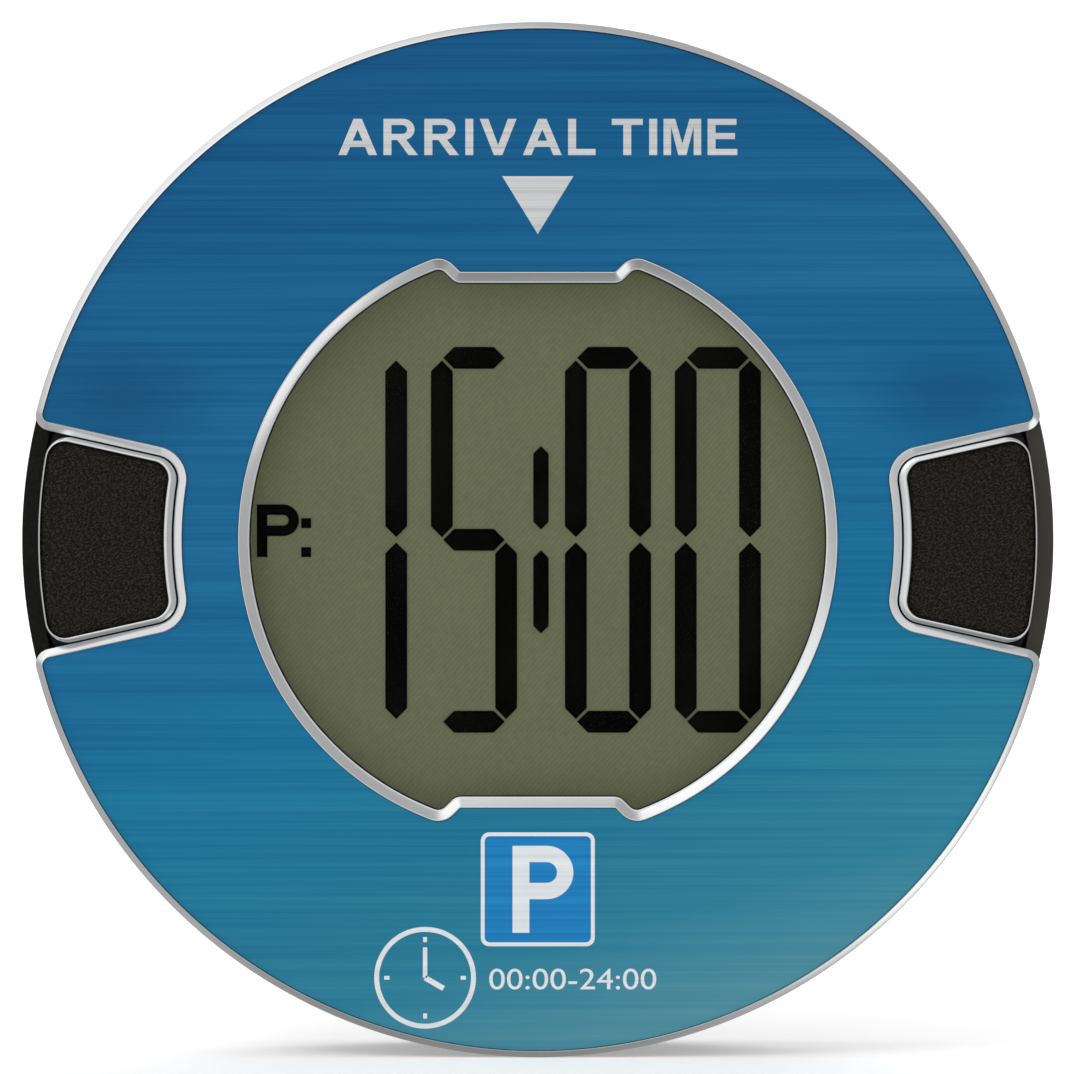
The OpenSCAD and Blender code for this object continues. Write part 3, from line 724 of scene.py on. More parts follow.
@dataclass(frozen=True)
class BrushedAnodised(Finish):
    """Blue anodised metal, brushed level, running from deep blue down to a pale teal, with painted
    shade above the notches.
    """

    gain: float = 1.17
    red_gain: float = 0.76

    def draw(self, sheet: NodeSheet, shader: bpy.types.Node) -> None:
        """Draws the colour run, the streaks, two patches of painted shade above the notches and
        the brushed gloss.
        """
        split = sheet.axes()
        across, up = split.outputs["X"], split.outputs["Z"]
        along = sheet.math("SUBTRACT", sheet.math("MULTIPLY", across, 0.30), up)
        place = sheet.math("ADD", sheet.math("MULTIPLY", along, 1 / (80 * MM)), 0.5)
        deep = self.run(sheet, place, (
            (0.00, srgb(9, 71, 116)), (0.34, srgb(18, 86, 130)), (0.50, srgb(15, 86, 133)),
            (0.62, srgb(17, 94, 139)), (0.78, srgb(28, 104, 140)), (0.90, srgb(48, 119, 148)),
            (1.00, srgb(83, 134, 154))))
        pale = self.run(sheet, place, (
            (0.00, srgb(31, 93, 140)), (0.34, srgb(42, 109, 152)), (0.50, srgb(39, 111, 155)),
            (0.62, srgb(37, 120, 157)), (0.78, srgb(52, 128, 154)), (0.90, srgb(68, 134, 156)),
            (1.00, srgb(107, 148, 162))))
        lines = EFFECTS.streaks.use(sheet, Fine=0.30, Middle=0.42, Broad=0.34)
        cloud = sheet.noise(sheet.place((14, 14, 30)), 1, 2, 0.5)
        share = sheet.math("ADD", lines.outputs["Value"],
                           sheet.math("MULTIPLY", sheet.math("SUBTRACT", cloud, 0.5), 0.5))
        colour = sheet.blend(share, deep, pale)
        # Painted shade: two soft patches above the notches blend the plate towards a deeper blue.
        painted_shade = sheet.math("MULTIPLY", self.painted_shade_patch(sheet, across, up, -32 * MM, 11 * MM),
                           self.painted_shade_patch(sheet, across, up, 32 * MM, 11 * MM))
        tint = sheet.blend(painted_shade, self.deepened(srgb(14, 66, 106)), colour)
        sheet.feed(shader, Base_Color=tint, Metallic=0.45, Specular_IOR_Level=0.15)
        rough = sheet.math("ADD", 0.34, sheet.math("MULTIPLY", lines.outputs["Value"], 0.12))
        sheet.into(shader.inputs["Roughness"], rough)
        shader.inputs["Anisotropic"].default_value = 0.5
        self.bump(sheet, shader, lines.outputs["Fine line"], 0.004 * MM, 0.5)

    def run(self, sheet: NodeSheet, place: object,
            stops: Sequence[tuple[float, Sequence[float]]]) -> bpy.types.NodeSocket:
        """Adds a colour run with stops and gives its colour."""
        ramp = sheet.add("ValToRGB")
        sheet.into(ramp.inputs[0], place)
        while len(ramp.color_ramp.elements) < len(stops):
            ramp.color_ramp.elements.new(0.5)
        for element, (position, colour) in zip(ramp.color_ramp.elements, stops):
            element.position = position
            element.color = self.deepened(colour)
        return ramp.outputs[0]

    def deepened(self, colour: Sequence[float]) -> tuple[float, float, float, float]:
        """Gives a stop's colour, weighted for what the metal under the dye reflects."""
        red, green, blue, _ = colour
        return red * self.red_gain, green * self.gain, blue * self.gain, 1.0

    @staticmethod
    def painted_shade_patch(sheet: NodeSheet, across: object, up: object, x: float, z: float
               ) -> bpy.types.NodeSocket:
        """Gives a soft patch of painted shade that is 0 at a place on the plate and 1 away from
        it.
        """
        dx = sheet.math("MULTIPLY", sheet.math("SUBTRACT", across, x), 1 / (8.5 * MM))
        dz = sheet.math("MULTIPLY", sheet.math("SUBTRACT", up, z), 1 / (5.0 * MM))
        away = sheet.math("SQRT", sheet.math("ADD", sheet.math("MULTIPLY", dx, dx),
                                             sheet.math("MULTIPLY", dz, dz)))
        return sheet.span(away, (0.0, 1.2), (0.45, 1.0))


@dataclass(frozen=True)
class Chrome(Finish):
    """Chrome plating, from polished to satin, with faint smudges in its gloss."""

    colour: Colour = (0.87, 0.88, 0.89)
    roughness: float = 0.16
    smudges: float = 0.06

    def draw(self, sheet: NodeSheet, shader: bpy.types.Node) -> None:
        """Draws the plated colour and its gloss."""
        wear = EFFECTS.wear.use(sheet, Smudges=1.0, Hairlines=0.6)
        gloss = sheet.math("ADD", self.roughness,
                           sheet.math("MULTIPLY", wear.outputs[0], self.smudges))
        sheet.feed(shader, Metallic=1.0, Roughness=gloss)
        darker = tuple(c * 0.95 for c in self.colour)
        sheet.into(shader.inputs["Base Color"],
                   sheet.blend(wear.outputs[0], (*self.colour, 1), (*darker, 1)))


@dataclass(frozen=True)
class Leather(Finish):
    """Black rubber with a leather grain."""

    def draw(self, sheet: NodeSheet, shader: bpy.types.Node) -> None:
        """Draws the grain, painted shade in its creases, painted light on its crests and its dull
        sheen.
        """
        grain = EFFECTS.leather.use(sheet, Scale=6600.0)
        crest_light = grain.outputs["Crest light"]
        # Painted shade and light: the creases are painted dark and the crests pale, standing in
        # for the grain's lit and shaded sides.
        colour = sheet.blend(crest_light, srgb(13, 12, 9), srgb(45, 43, 36))
        sheet.into(shader.inputs["Base Color"], colour)
        sheet.into(shader.inputs["Roughness"], sheet.span(crest_light, (0, 1), (0.6, 0.4)))
        shader.inputs["Specular IOR Level"].default_value = 0.14
        shader.inputs["Specular Tint"].default_value = (1.0, 0.97, 0.9, 1)
        self.bump(sheet, shader, grain.outputs["Height"], 0.09 * MM)


@dataclass(frozen=True)
class MouldedPlastic(Finish):
    """Plastic with the fine texture of its mould."""

    colour: Colour = (0.02, 0.02, 0.02)
    roughness: float = 0.55
    grain: float = 4200.0
    depth: float = 0.02 * MM
    level: float = 0.4

    def draw(self, sheet: NodeSheet, shader: bpy.types.Node) -> None:
        """Draws the colour with its specks, the gloss and the texture."""
        mould = EFFECTS.mould.use(sheet, Scale=self.grain)
        wear = EFFECTS.wear.use(sheet, Smudges=1.0, Hairlines=0.3)
        lighter = tuple(c * 1.35 + 0.002 for c in self.colour)
        colour = sheet.blend(sheet.span(mould.outputs["Speck"], (0.35, 0.7), (0, 1)),
                             (*self.colour, 1), (*lighter, 1))
        sheet.into(shader.inputs["Base Color"], colour)
        gloss = sheet.math("SUBTRACT", self.roughness,
                           sheet.math("MULTIPLY", wear.outputs[0], 0.08))
        sheet.into(shader.inputs["Roughness"], gloss)
        shader.inputs["Specular IOR Level"].default_value = self.level
        self.bump(sheet, shader, mould.outputs["Height"], self.depth)


@dataclass(frozen=True)
class PaintedReflectionPlastic(MouldedPlastic):
    """Moulded plastic with a painted reflection that makes its front edge a little paler towards
    one side.
    """

    # The tone of the painted reflection on the front edge.
    pale: Colour = (0.05, 0.05, 0.05)

    def draw(self, sheet: NodeSheet, shader: bpy.types.Node) -> None:
        """Draws the moulded plastic and paints a reflection on its front edge, paler towards +X.
        """
        super().draw(sheet, shader)
        unpainted_tone = shader.inputs["Base Color"].links[0].from_socket
        split = sheet.axes()
        side = sheet.span(split.outputs["X"], (-30 * MM, 40 * MM), (0, 1))
        brow = sheet.span(split.outputs["Y"], (-12.4 * MM, -13.4 * MM), (0, 1))
        # Painted reflection: the front edge is blended towards the paler tone, more so towards +X.
        share = sheet.math("MULTIPLY", side, brow)
        sheet.into(shader.inputs["Base Color"], sheet.blend(share, unpainted_tone, (*self.pale, 1)))


@dataclass(frozen=True)
class ClearSheet(Finish):
    """A clear sheet: it mirrors its surroundings a little, more so when seen aslant."""

    colour: Colour = (0.95, 0.97, 0.97)
    mirror: float = 0.7
    head_on: float = 0.033
    index: float = 1.45
    haze: float = 0.0
    roughness: float = 0.05

    def draw(self, sheet: NodeSheet, shader: bpy.types.Node) -> None:
        """Draws the mirroring, with faint smudges in its gloss."""
        wear = EFFECTS.wear.use(sheet, Smudges=1.0, Hairlines=0.4)
        gloss = sheet.math("ADD", self.roughness, sheet.math("MULTIPLY", wear.outputs[0], 0.05))
        sheet.into(shader.inputs["Roughness"], gloss)
        edge = sheet.add("Fresnel")
        behind = sheet.add("NewGeometry").outputs["Backfacing"]
        sheet.into(edge.inputs["IOR"], sheet.span(behind, (0, 1), (self.index, 1 / self.index)))
        aslant = sheet.math("MAXIMUM", sheet.math("SUBTRACT", edge.outputs[0], self.head_on), 0.0)
        cover = sheet.math("ADD", self.haze, sheet.math("MULTIPLY", aslant, self.mirror))
        sheet.into(shader.inputs["Alpha"], cover)
        shader.inputs["Base Color"].default_value = (*self.colour, 1)
        shader.inputs["Metallic"].default_value = 1.0


@dataclass(frozen=True)
class DisplayGround(Finish):
    """The olive ground of the display, with the reflector's fine slanted hatch."""

    # The strength of a painted glow: the ground lights itself to lift the shade that the deep
    # frame casts on it.
    glow: float = 0.36

    def draw(self, sheet: NodeSheet, shader: bpy.types.Node) -> None:
        """Draws the ground's tone, hatch and cloudiness, with a painted glow in its own colour
        that lifts the frame's shadow.
        """
        split = sheet.axes()
        slant = sheet.math("ADD", split.outputs["X"],
                           sheet.math("MULTIPLY", split.outputs["Z"], -0.9))
        wave = sheet.math("SINE", sheet.math("MULTIPLY", slant, 2 * math.pi / (0.42 * MM)))
        cloud = sheet.noise(sheet.place((1, 1, 1)), 90, 3, 0.6)
        fine = sheet.noise(sheet.place((1, 1, 1)), 2600, 2, 0.5)
        share = sheet.math("ADD", sheet.math("MULTIPLY", wave, 0.17),
                           sheet.math("ADD", sheet.math("MULTIPLY", cloud, 0.45),
                                      sheet.math("MULTIPLY", fine, 0.55)))
        colour = sheet.blend(share, srgb(80, 83, 62), srgb(97, 100, 76))
        sheet.into(shader.inputs["Base Color"], colour)
        # Painted glow: the ground emits its own colour, though it is no lamp.
        sheet.into(shader.inputs["Emission Color"], colour)
        shader.inputs["Emission Strength"].default_value = self.glow
        shader.inputs["Roughness"].default_value = 0.6
        shader.inputs["Specular IOR Level"].default_value = 0.1


@dataclass(frozen=True)
class SegmentInk(Finish):
    """The near-black tone of a display segment that is switched on."""

    def draw(self, sheet: NodeSheet, shader: bpy.types.Node) -> None:
        """Draws the tone with a soft cloudiness."""
        cloud = sheet.noise(sheet.place((1, 1, 1)), 140, 2, 0.5)
        share = sheet.span(cloud, (0.35, 0.7), (0, 1))
        colour = sheet.blend(share, (0.0004, 0.0004, 0.0004, 1), (0.0022, 0.0023, 0.0018, 1))
        sheet.into(shader.inputs["Base Color"], colour)
        shader.inputs["Roughness"].default_value = 0.7
        shader.inputs["Specular IOR Level"].default_value = 0.02


@dataclass(frozen=True)
class Ink(Finish):
    """A printed ink that lets the brushed lines under it show a little."""

    dark: tuple[float, float, float, float] = srgb(170, 173, 175)
    light: tuple[float, float, float, float] = srgb(211, 213, 214)

    def draw(self, sheet: NodeSheet, shader: bpy.types.Node) -> None:
        """Draws the ink's tone along the brushed lines."""
        lines = EFFECTS.streaks.use(sheet, Fine=0.35, Middle=0.5, Broad=0.2)
        colour = sheet.blend(lines.outputs["Value"], self.dark, self.light)
        sheet.into(shader.inputs["Base Color"], colour)
        rough = sheet.math("ADD", 0.42, sheet.math("MULTIPLY", lines.outputs["Value"], 0.1))
        sheet.into(shader.inputs["Roughness"], rough)
        shader.inputs["Specular IOR Level"].default_value = 0.15


@dataclass(frozen=True)
class BareMetal(Finish):
    """Plated or drawn metal of screws, cells and contacts."""

    colour: Colour = (0.6, 0.6, 0.6)
    roughness: float = 0.3

    def draw(self, sheet: NodeSheet, shader: bpy.types.Node) -> None:
        """Draws the metal with its drawn lines and smudges."""
        wear = EFFECTS.wear.use(sheet, Smudges=1.0, Hairlines=1.0)
        darker = tuple(c * 0.8 for c in self.colour)
        sheet.into(shader.inputs["Base Color"],
                   sheet.blend(wear.outputs[0], (*self.colour, 1), (*darker, 1)))
        gloss = sheet.math("ADD", self.roughness, sheet.math("MULTIPLY", wear.outputs[0], 0.15))
        sheet.feed(shader, Metallic=1.0, Roughness=gloss)
        self.bump(sheet, shader, wear.outputs[0], 0.004 * MM, 0.4)


@dataclass(frozen=True)
class Laminate(Finish):
    """Green circuit board with lighter tracks under its solder mask."""

    def draw(self, sheet: NodeSheet, shader: bpy.types.Node) -> None:
        """Draws the mask and the tracks under it."""
        split = sheet.axes()
        flat = sheet.add("CombineXYZ")
        sheet.into(flat.inputs["X"], split.outputs["X"])
        sheet.into(flat.inputs["Y"], split.outputs["Z"])
        tracks = sheet.add("TexBrick", offset=0.37, offset_frequency=3, squash=0.55,
                           squash_frequency=5)
        sheet.feed(tracks, Vector=flat.outputs[0], Scale=420.0, Mortar_Size=0.045,
                   Mortar_Smooth=0.2, Brick_Width=3.4, Row_Height=0.42)
        edge = sheet.span(tracks.outputs["Fac"], (0.2, 0.8), (1, 0))
        sheet.into(shader.inputs["Base Color"],
                   sheet.blend(edge, srgb(44, 116, 62), srgb(20, 82, 42)))
        wear = EFFECTS.wear.use(sheet, Smudges=1.0, Hairlines=0.2)
        sheet.into(shader.inputs["Roughness"],
                   sheet.math("ADD", 0.28, sheet.math("MULTIPLY", wear.outputs[0], 0.15)))
        self.bump(sheet, shader, edge, 0.02 * MM, 0.5)


PLATE = BrushedAnodised("anodised_plate")
RIM_CHROME = Chrome("rim_chrome", roughness=0.2)
FRAME_CHROME = Chrome("frame_chrome", roughness=0.22)
TRIM_CHROME = Chrome("trim_chrome", roughness=0.12)
PAD = Leather("leather_grain_rubber")
# The case's front edge carries a painted reflection, paler towards +X.
CASE = PaintedReflectionPlastic("case_plastic", colour=(0.0040, 0.0038, 0.0030), roughness=0.6,
                    level=0.12, pale=(0.046, 0.044, 0.038))
COVER = MouldedPlastic("cover_plastic", colour=(0.0046, 0.0044, 0.0036), roughness=0.55,
                       level=0.14)
INNER_BLACK = MouldedPlastic("inner_black", colour=(0.004, 0.004, 0.004), roughness=0.7)
HOLDER = MouldedPlastic("holder_plastic", colour=(0.014, 0.014, 0.015), roughness=0.45)
CHIP = MouldedPlastic("chip_plastic", colour=(0.012, 0.012, 0.013), roughness=0.6, grain=9000.0)
CERAMIC = MouldedPlastic("capacitor_ceramic", colour=(0.42, 0.31, 0.17), roughness=0.5)
FOAM = MouldedPlastic("gasket_foam", colour=(0.008, 0.008, 0.008), roughness=0.95, depth=0.08 * MM)
SILICONE = MouldedPlastic("dome_silicone", colour=(0.26, 0.26, 0.27), roughness=0.6, level=0.3)
ZEBRA = MouldedPlastic("zebra_rubber", colour=(0.2, 0.21, 0.23), roughness=0.7, grain=2600.0)
ADHESIVE = MouldedPlastic("adhesive_sheet", colour=(0.75, 0.73, 0.66), roughness=0.6)
WINDOW = ClearSheet("clear_window")
FILM = ClearSheet("polarizer_film", colour=(0.32, 0.34, 0.24), mirror=0.1, haze=0.004,
                  roughness=0.3)
GROUND = DisplayGround("display_ground")
SEGMENT = SegmentInk("dark_segments")
INK = Ink("white_ink")
SIGN_INK = Ink("sign_white_ink", dark=srgb(209, 215, 218), light=srgb(233, 236, 238))
SIGN_BLUE = Ink("sign_blue_ink", dark=srgb(6, 110, 177), light=srgb(34, 137, 196))
LAMINATE = Laminate("board_laminate")
STEEL = BareMetal("screw_steel", colour=(0.50, 0.51, 0.52), roughness=0.32)
CELL = BareMetal("cell_nickel", colour=(0.66, 0.66, 0.65), roughness=0.24)
CAN = BareMetal("can_metal", colour=(0.60, 0.61, 0.62), roughness=0.3)
BRONZE = BareMetal("contact_bronze", colour=(0.78, 0.60, 0.30), roughness=0.3)
GOLD = BareMetal("pad_gold", colour=(0.83, 0.62, 0.25), roughness=0.25)


# ------------------------------------------------------------------ placing pieces


def install(piece: bpy.types.Object, finish: Finish, body: str, slot: str, *nodes: str
            ) -> bpy.types.Object:
    """Dresses a new piece, rides it on its body and lets it stand for its nodes.

    Args:
        piece: The new piece, in its place.
        finish: What it is dressed in.
        body: The body that it moves with.
        slot: The record's material slot; not used.
        *nodes: The frame's nodes that it stands for.

    Returns:
        The same piece.
    """
    finish.dress(piece)
    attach(piece, body)
    if nodes:
        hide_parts(*nodes)
    LOG.info("%s rides on %s", piece.name, body)
    return piece


def keep(node: str, finish: Finish) -> None:
    """Dresses one of the frame's own nodes, which keeps its own shape."""
    finish.dress(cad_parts[node])
    LOG.info("%s keeps its own shape", node)


# ------------------------------------------------------------------ the front


class Align(Enum):
    """Where a line of lettering starts from."""

    LEFT = "LEFT"
    MIDDLE = "CENTER"


@dataclass(frozen=True)
class BlockCapitals:
    """Plain bold capitals with square ends, drawn for a cap height of 1."""

    stem: float = 0.205
    arm: float = 0.170
    spacing: float = 0.165
    word_gap: float = 0.42

    def letter(self, name: str) -> tuple[Outline, list[Outline], float]:
        """Draws one capital.

        Args:
            name: The capital.

        Returns:
            Its outline, its holes and its width.
        """
        return {"A": self.a, "E": self.e, "I": self.i, "L": self.l, "M": self.m,
                "R": self.r, "T": self.t, "V": self.v}[name]()

    def a(self) -> tuple[Outline, list[Outline], float]:
        """Draws A: two slanted stems, a bar and the hole over it."""
        wide, foot, top, bar = 1.0, 0.218, 0.214, 0.225
        mid = wide / 2
        slope = mid - top / 2

        def inside(y: float) -> float:
            """Gives the inner edge of the left stem at a height."""
            return foot + slope * y

        peak = (mid - foot) / slope - 0.01
        outline = [(0, 0), (foot, 0), (inside(bar), bar), (wide - inside(bar), bar),
                   (wide - foot, 0), (wide, 0), (mid + top / 2, 1), (mid - top / 2, 1)]
        low = bar + self.arm
        hole = [(inside(low), low), (mid, peak), (wide - inside(low), low)]
        return outline, [hole], wide

    def e(self) -> tuple[Outline, list[Outline], float]:
        """Draws E: a stem with three arms."""
        wide, s, t = 0.765, self.stem, self.arm
        mid = 0.525
        return [(0, 0), (wide, 0), (wide, t), (s, t), (s, mid - t / 2), (wide - 0.06, mid - t / 2),
                (wide - 0.06, mid + t / 2), (s, mid + t / 2), (s, 1 - t), (wide - 0.02, 1 - t),
                (wide - 0.02, 1), (0, 1)], [], wide

    def i(self) -> tuple[Outline, list[Outline], float]:
        """Draws I: a stem."""
        return [(0, 0), (self.stem, 0), (self.stem, 1), (0, 1)], [], self.stem

    def l(self) -> tuple[Outline, list[Outline], float]:
        """Draws L: a stem with one arm."""
        wide, s, t = 0.705, self.stem, self.arm
        return [(0, 0), (wide, 0), (wide, t), (s, t), (s, 1), (0, 1)], [], wide

    def m(self) -> tuple[Outline, list[Outline], float]:
        """Draws M: two stems with a V hung between them."""
        wide, s = 0.97, self.stem * 0.94
        mid, point = wide / 2, 0.105
        return [(0, 0), (s, 0), (s, 0.79), (mid - point, 0), (mid + point, 0), (wide - s, 0.79),
                (wide - s, 0), (wide, 0), (wide, 1), (wide - 0.30, 1), (mid, 0.31),
                (0.30, 1), (0, 1)], [], wide

    def r(self) -> tuple[Outline, list[Outline], float]:
        """Draws R: a stem, a bowl with its hole and a slanted leg."""
        wide, s, t = 0.89, self.stem, self.arm
        bowl = (1 - 0.415) / 2
        hub = (0.80 - bowl, 1 - bowl)
        leg = [(s, 0), (s, 0.415), (0.36, 0.415), (0.645, 0), (wide, 0), (0.58, 0.43)]
        outline = [(0, 0), *leg, *arc(hub, bowl, -75, 90, 16), (0, 1)]
        eye = bowl - t
        hole = [(s, hub[1] - eye), *arc((hub[0] - 0.02, hub[1]), eye, -90, 90, 12),
                (s, hub[1] + eye)]
        return outline, [hole], wide

    def t(self) -> tuple[Outline, list[Outline], float]:
        """Draws T: a bar over a stem."""
        wide, s, t = 0.80, self.stem, self.arm
        left, right = (wide - s) / 2, (wide + s) / 2
        return [(left, 0), (right, 0), (right, 1 - t), (wide, 1 - t), (wide, 1), (0, 1),
                (0, 1 - t), (left, 1 - t)], [], wide

    def v(self) -> tuple[Outline, list[Outline], float]:
        """Draws V: two slanted stems that meet at the foot."""
        wide, top, point = 0.95, 0.222, 0.108
        mid = wide / 2
        return [(mid - point, 0), (mid + point, 0), (wide, 1), (wide - top, 1), (mid, 0.27),
                (top, 1), (0, 1)], [], wide

    def line(self, words: str, height: float, width: float, foot: Point
             ) -> tuple[list[Outline], list[Outline]]:
        """Sets a line of capitals, centred over a point.

        Args:
            words: The words.
            height: The height of the capitals.
            width: The length of the line.
            foot: The point on the line's foot under its middle.

        Returns:
            The capitals' outlines and their holes.
        """
        drawn: list[tuple[Outline, list[Outline], float]] = []
        reach = 0.0
        for name in words:
            if name == " ":
                reach += self.word_gap - self.spacing
                continue
            outline, holes, wide = self.letter(name)
            drawn.append((outline, holes, reach))
            reach += wide + self.spacing
        reach -= self.spacing
        across = width / reach

        def placed(points: Outline, start: float) -> Outline:
            """Moves and scales one letter's points to their place in the line."""
            return [(foot[0] + (x + start) * across - width / 2, foot[1] + y * height)
                    for x, y in points]

        return ([placed(outline, start) for outline, _, start in drawn],
                [placed(hole, start) for _, holes, start in drawn for hole in holes])


@dataclass
class Lettering:
    """A line of plain printed lettering."""

    words: str
    height: float
    width: float
    place: Point
    align: Align = Align.MIDDLE

    def curve(self) -> bpy.types.Curve:
        """Makes the line as a text curve of size 1."""
        curve = bpy.data.curves.new(self.words, "FONT")
        curve.body = self.words
        curve.align_x = self.align.value
        curve.resolution_u = 6
        return curve

    def make(self, name: str, level: float) -> bpy.types.Object:
        """Prints the line on the plate.

        Args:
            name: The new object's name.
            level: The level of the plate's front.

        Returns:
            The new object, with capitals as high and a line as wide as asked.
        """
        piece = flat_to_face(name, self.curve(), 0)
        xs = [v.co.x for v in piece.data.vertices]
        zs = [v.co.z for v in piece.data.vertices]
        across = self.width / (max(xs) - min(xs))
        up = self.height / (max(zs) - min(zs))
        middle = (max(xs) + min(xs)) / 2 if self.align is Align.MIDDLE else min(xs)
        for vertex in piece.data.vertices:
            x, z = (vertex.co.x - middle) * across, (vertex.co.z - min(zs)) * up
            vertex.co = to_world(x + self.place[0], z + self.place[1], level)
        return piece


@dataclass
class FrontShell:
    """The chromed bezel, the brushed plate in it and the plate's printing.

    The lip's section gives the share of the way in over it and its drops there below the
    disc's front, in millimetres: at the rim, and around the notches.
    """

    shapes: FaceShapes
    fit: float = 0.03 * MM
    ink: float = 0.012 * MM
    rim_blend: tuple[float, float] = (36.5 * MM, 39.6 * MM)
    boss_r: float = 2.4 * MM
    bore_r: float = 1.05 * MM
    lip_section: Section = (
        (0.0, 0.60, 0.16), (0.015, 0.54, 0.13), (0.05, 0.50, 0.108), (0.12, 0.45, 0.09),
        (0.30, 0.34, 0.066), (0.50, 0.22, 0.043), (0.70, 0.105, 0.021), (0.82, 0.045, 0.009),
        (0.90, 0.012, 0.003), (0.95, 0.0, 0.0), (0.985, 0.02, 0.015), (1.0, 0.06, 0.05),
    )

    def __post_init__(self) -> None:
        """Reads the levels from the frame."""
        self.case_top = level_of("rear_case")[1]
        self.front = level_of("front_bezel")[1]
        self.seat = level_of("plate_adhesive")[0]
        self.plate = level_of("face_plate")
        self.board_top = level_of("main_board")[1]

    def build(self) -> None:
        """Builds the bezel, the plate and the printing."""
        self.build_bezel()
        self.build_plate()
        self.build_printing()

    def lip_rings(self) -> list[Ring]:
        """Gives the lip's rings, from its outer foot over the crest to the plate's seat.

        The rim slopes down steeply towards its edge, and the lips around the notches only
        a little; the levels of the two run into each other at the notches' ends.
        """
        near, far = self.rim_blend
        shares = [min(1.0, max(0.0, (math.hypot(x, y) - near) / (far - near)))
                  for x, y in self.shapes.bezel(0)]
        rings: list[Ring] = [(self.shapes.bezel(0), self.case_top)]
        for share, rim_drop, notch_drop in self.lip_section:
            levels = [self.front - (rim_drop * t + notch_drop * (1 - t)) * MM for t in shares]
            rings.append((self.shapes.bezel(share), levels))
        rings += [(self.shapes.bezel(1.0), self.seat), (self.shapes.bezel(1.0), self.case_top)]
        return rings

    def build_bezel(self) -> None:
        """Builds the lip, the floor behind the plate and the screw bosses."""
        lip = swept("bezel_lip", self.lip_rings(), closed=True)
        under = level_of("display_frame")[0] + 0.8 * MM
        opening = self.shapes.display(0.05 * MM)
        floor = cut_sheet("bezel_floor", [self.shapes.bezel(1.0)], [opening],
                          self.case_top, self.seat)
        inner = cut_sheet("bezel_under", [self.inside_case()], [opening], under, self.case_top)
        bosses = [self.boss(a, under) for a in self.shapes.screw_angles]
        piece = joined("front_bezel_chrome", [lip, floor, inner, *bosses])
        smooth(piece)
        install(piece, RIM_CHROME, "case", "bezel_chrome", "front_bezel")

    def inside_case(self) -> Outline:
        """Gives the outline of the bezel's part that goes down inside the case wall."""
        limit = self.shapes.key_outer_r + 0.05 * MM
        return [(x * min(1, limit / math.hypot(x, y)), y * min(1, limit / math.hypot(x, y)))
                for x, y in self.shapes.bezel(0.0)]

    def boss(self, angle: float, under: float) -> bpy.types.Object:
        """Builds one hollow screw boss behind the bezel."""
        r, bore, top = self.boss_r, self.bore_r, self.board_top
        section = [(r, under), (r, top), (bore, top), (bore, under)]
        return tube("bezel_boss", section, polar(self.shapes.screw_ring, angle))

    def build_plate(self) -> None:
        """Builds the coloured plate and keeps its adhesive."""
        piece = cut_sheet("brushed_plate", [self.shapes.bezel(1.0, self.fit)],
                          [self.shapes.display(self.fit)], *self.plate, edge=0.03 * MM)
        smooth(piece)
        install(piece, PLATE, "case", "plate_blue", "face_plate")
        keep("plate_adhesive", ADHESIVE)

    def print_on(self, piece: bpy.types.Object, finish: Finish) -> None:
        """Lays a printed piece on the plate."""
        install(piece, finish, "case", "plate_blue")

    def patch(self, name: str, outer: Sequence[Outline], holes: Sequence[Outline],
              layer: int = 1) -> bpy.types.Object:
        """Cuts a flat printed patch, one layer of ink above another."""
        low = self.plate[1] + (layer - 1) * self.ink
        return cut_sheet(name, outer, holes, low, low + self.ink)

    def build_printing(self) -> None:
        """Prints the legends, the pointer, the parking sign and the clock mark."""
        level = self.plate[1] + self.ink
        word = BlockCapitals().line("ARRIVAL TIME", 2.80 * MM, 30.8 * MM, (0, 29.70 * MM))
        self.print_on(self.patch("legend_word", *word), INK)
        pointer = [(-2.75 * MM, 28.07 * MM), (2.75 * MM, 28.07 * MM), (0, 23.60 * MM)]
        self.print_on(self.patch("legend_pointer", [pointer], []), INK)
        hours = Lettering("00:00-24:00", 1.62 * MM, 12.9 * MM, (-3.75 * MM, -34.72 * MM),
                          align=Align.LEFT)
        self.print_on(hours.make("legend_hours", level), SIGN_INK)
        self.build_sign((0, -26.98 * MM))
        self.build_clock((-8.70 * MM, -33.81 * MM))

    def build_sign(self, centre: Point) -> None:
        """Prints the square parking sign with its letter."""
        side, line = 8.80 * MM, 0.30 * MM
        outer = self.moved(rounded_box(side, side, 0.65 * MM), centre)
        inner = self.moved(rounded_box(side - 2 * line, side - 2 * line, 0.4 * MM), centre)
        self.print_on(self.patch("sign_border", [outer], [inner]), SIGN_INK)
        self.print_on(self.patch("sign_field", [inner], []), SIGN_BLUE)
        stem, height, width = 1.30 * MM, 6.72 * MM, 4.70 * MM
        bowl, counter = 2.06 * MM, 0.80 * MM
        left, foot = centre[0] - 1.95 * MM, centre[1] - height / 2
        top = foot + height
        hub = (left + width - bowl, top - bowl)
        letter = [(left, foot), (left + stem, foot), (left + stem, top - 2 * bowl),
                  *arc(hub, bowl, -90, 90, 20), (left, top)]
        eye = [(left + stem, hub[1] - counter), *arc((hub[0], hub[1]), counter, -90, 90, 14),
               (left + stem, hub[1] + counter)]
        self.print_on(self.patch("sign_letter", [letter], [eye], layer=2), SIGN_INK)

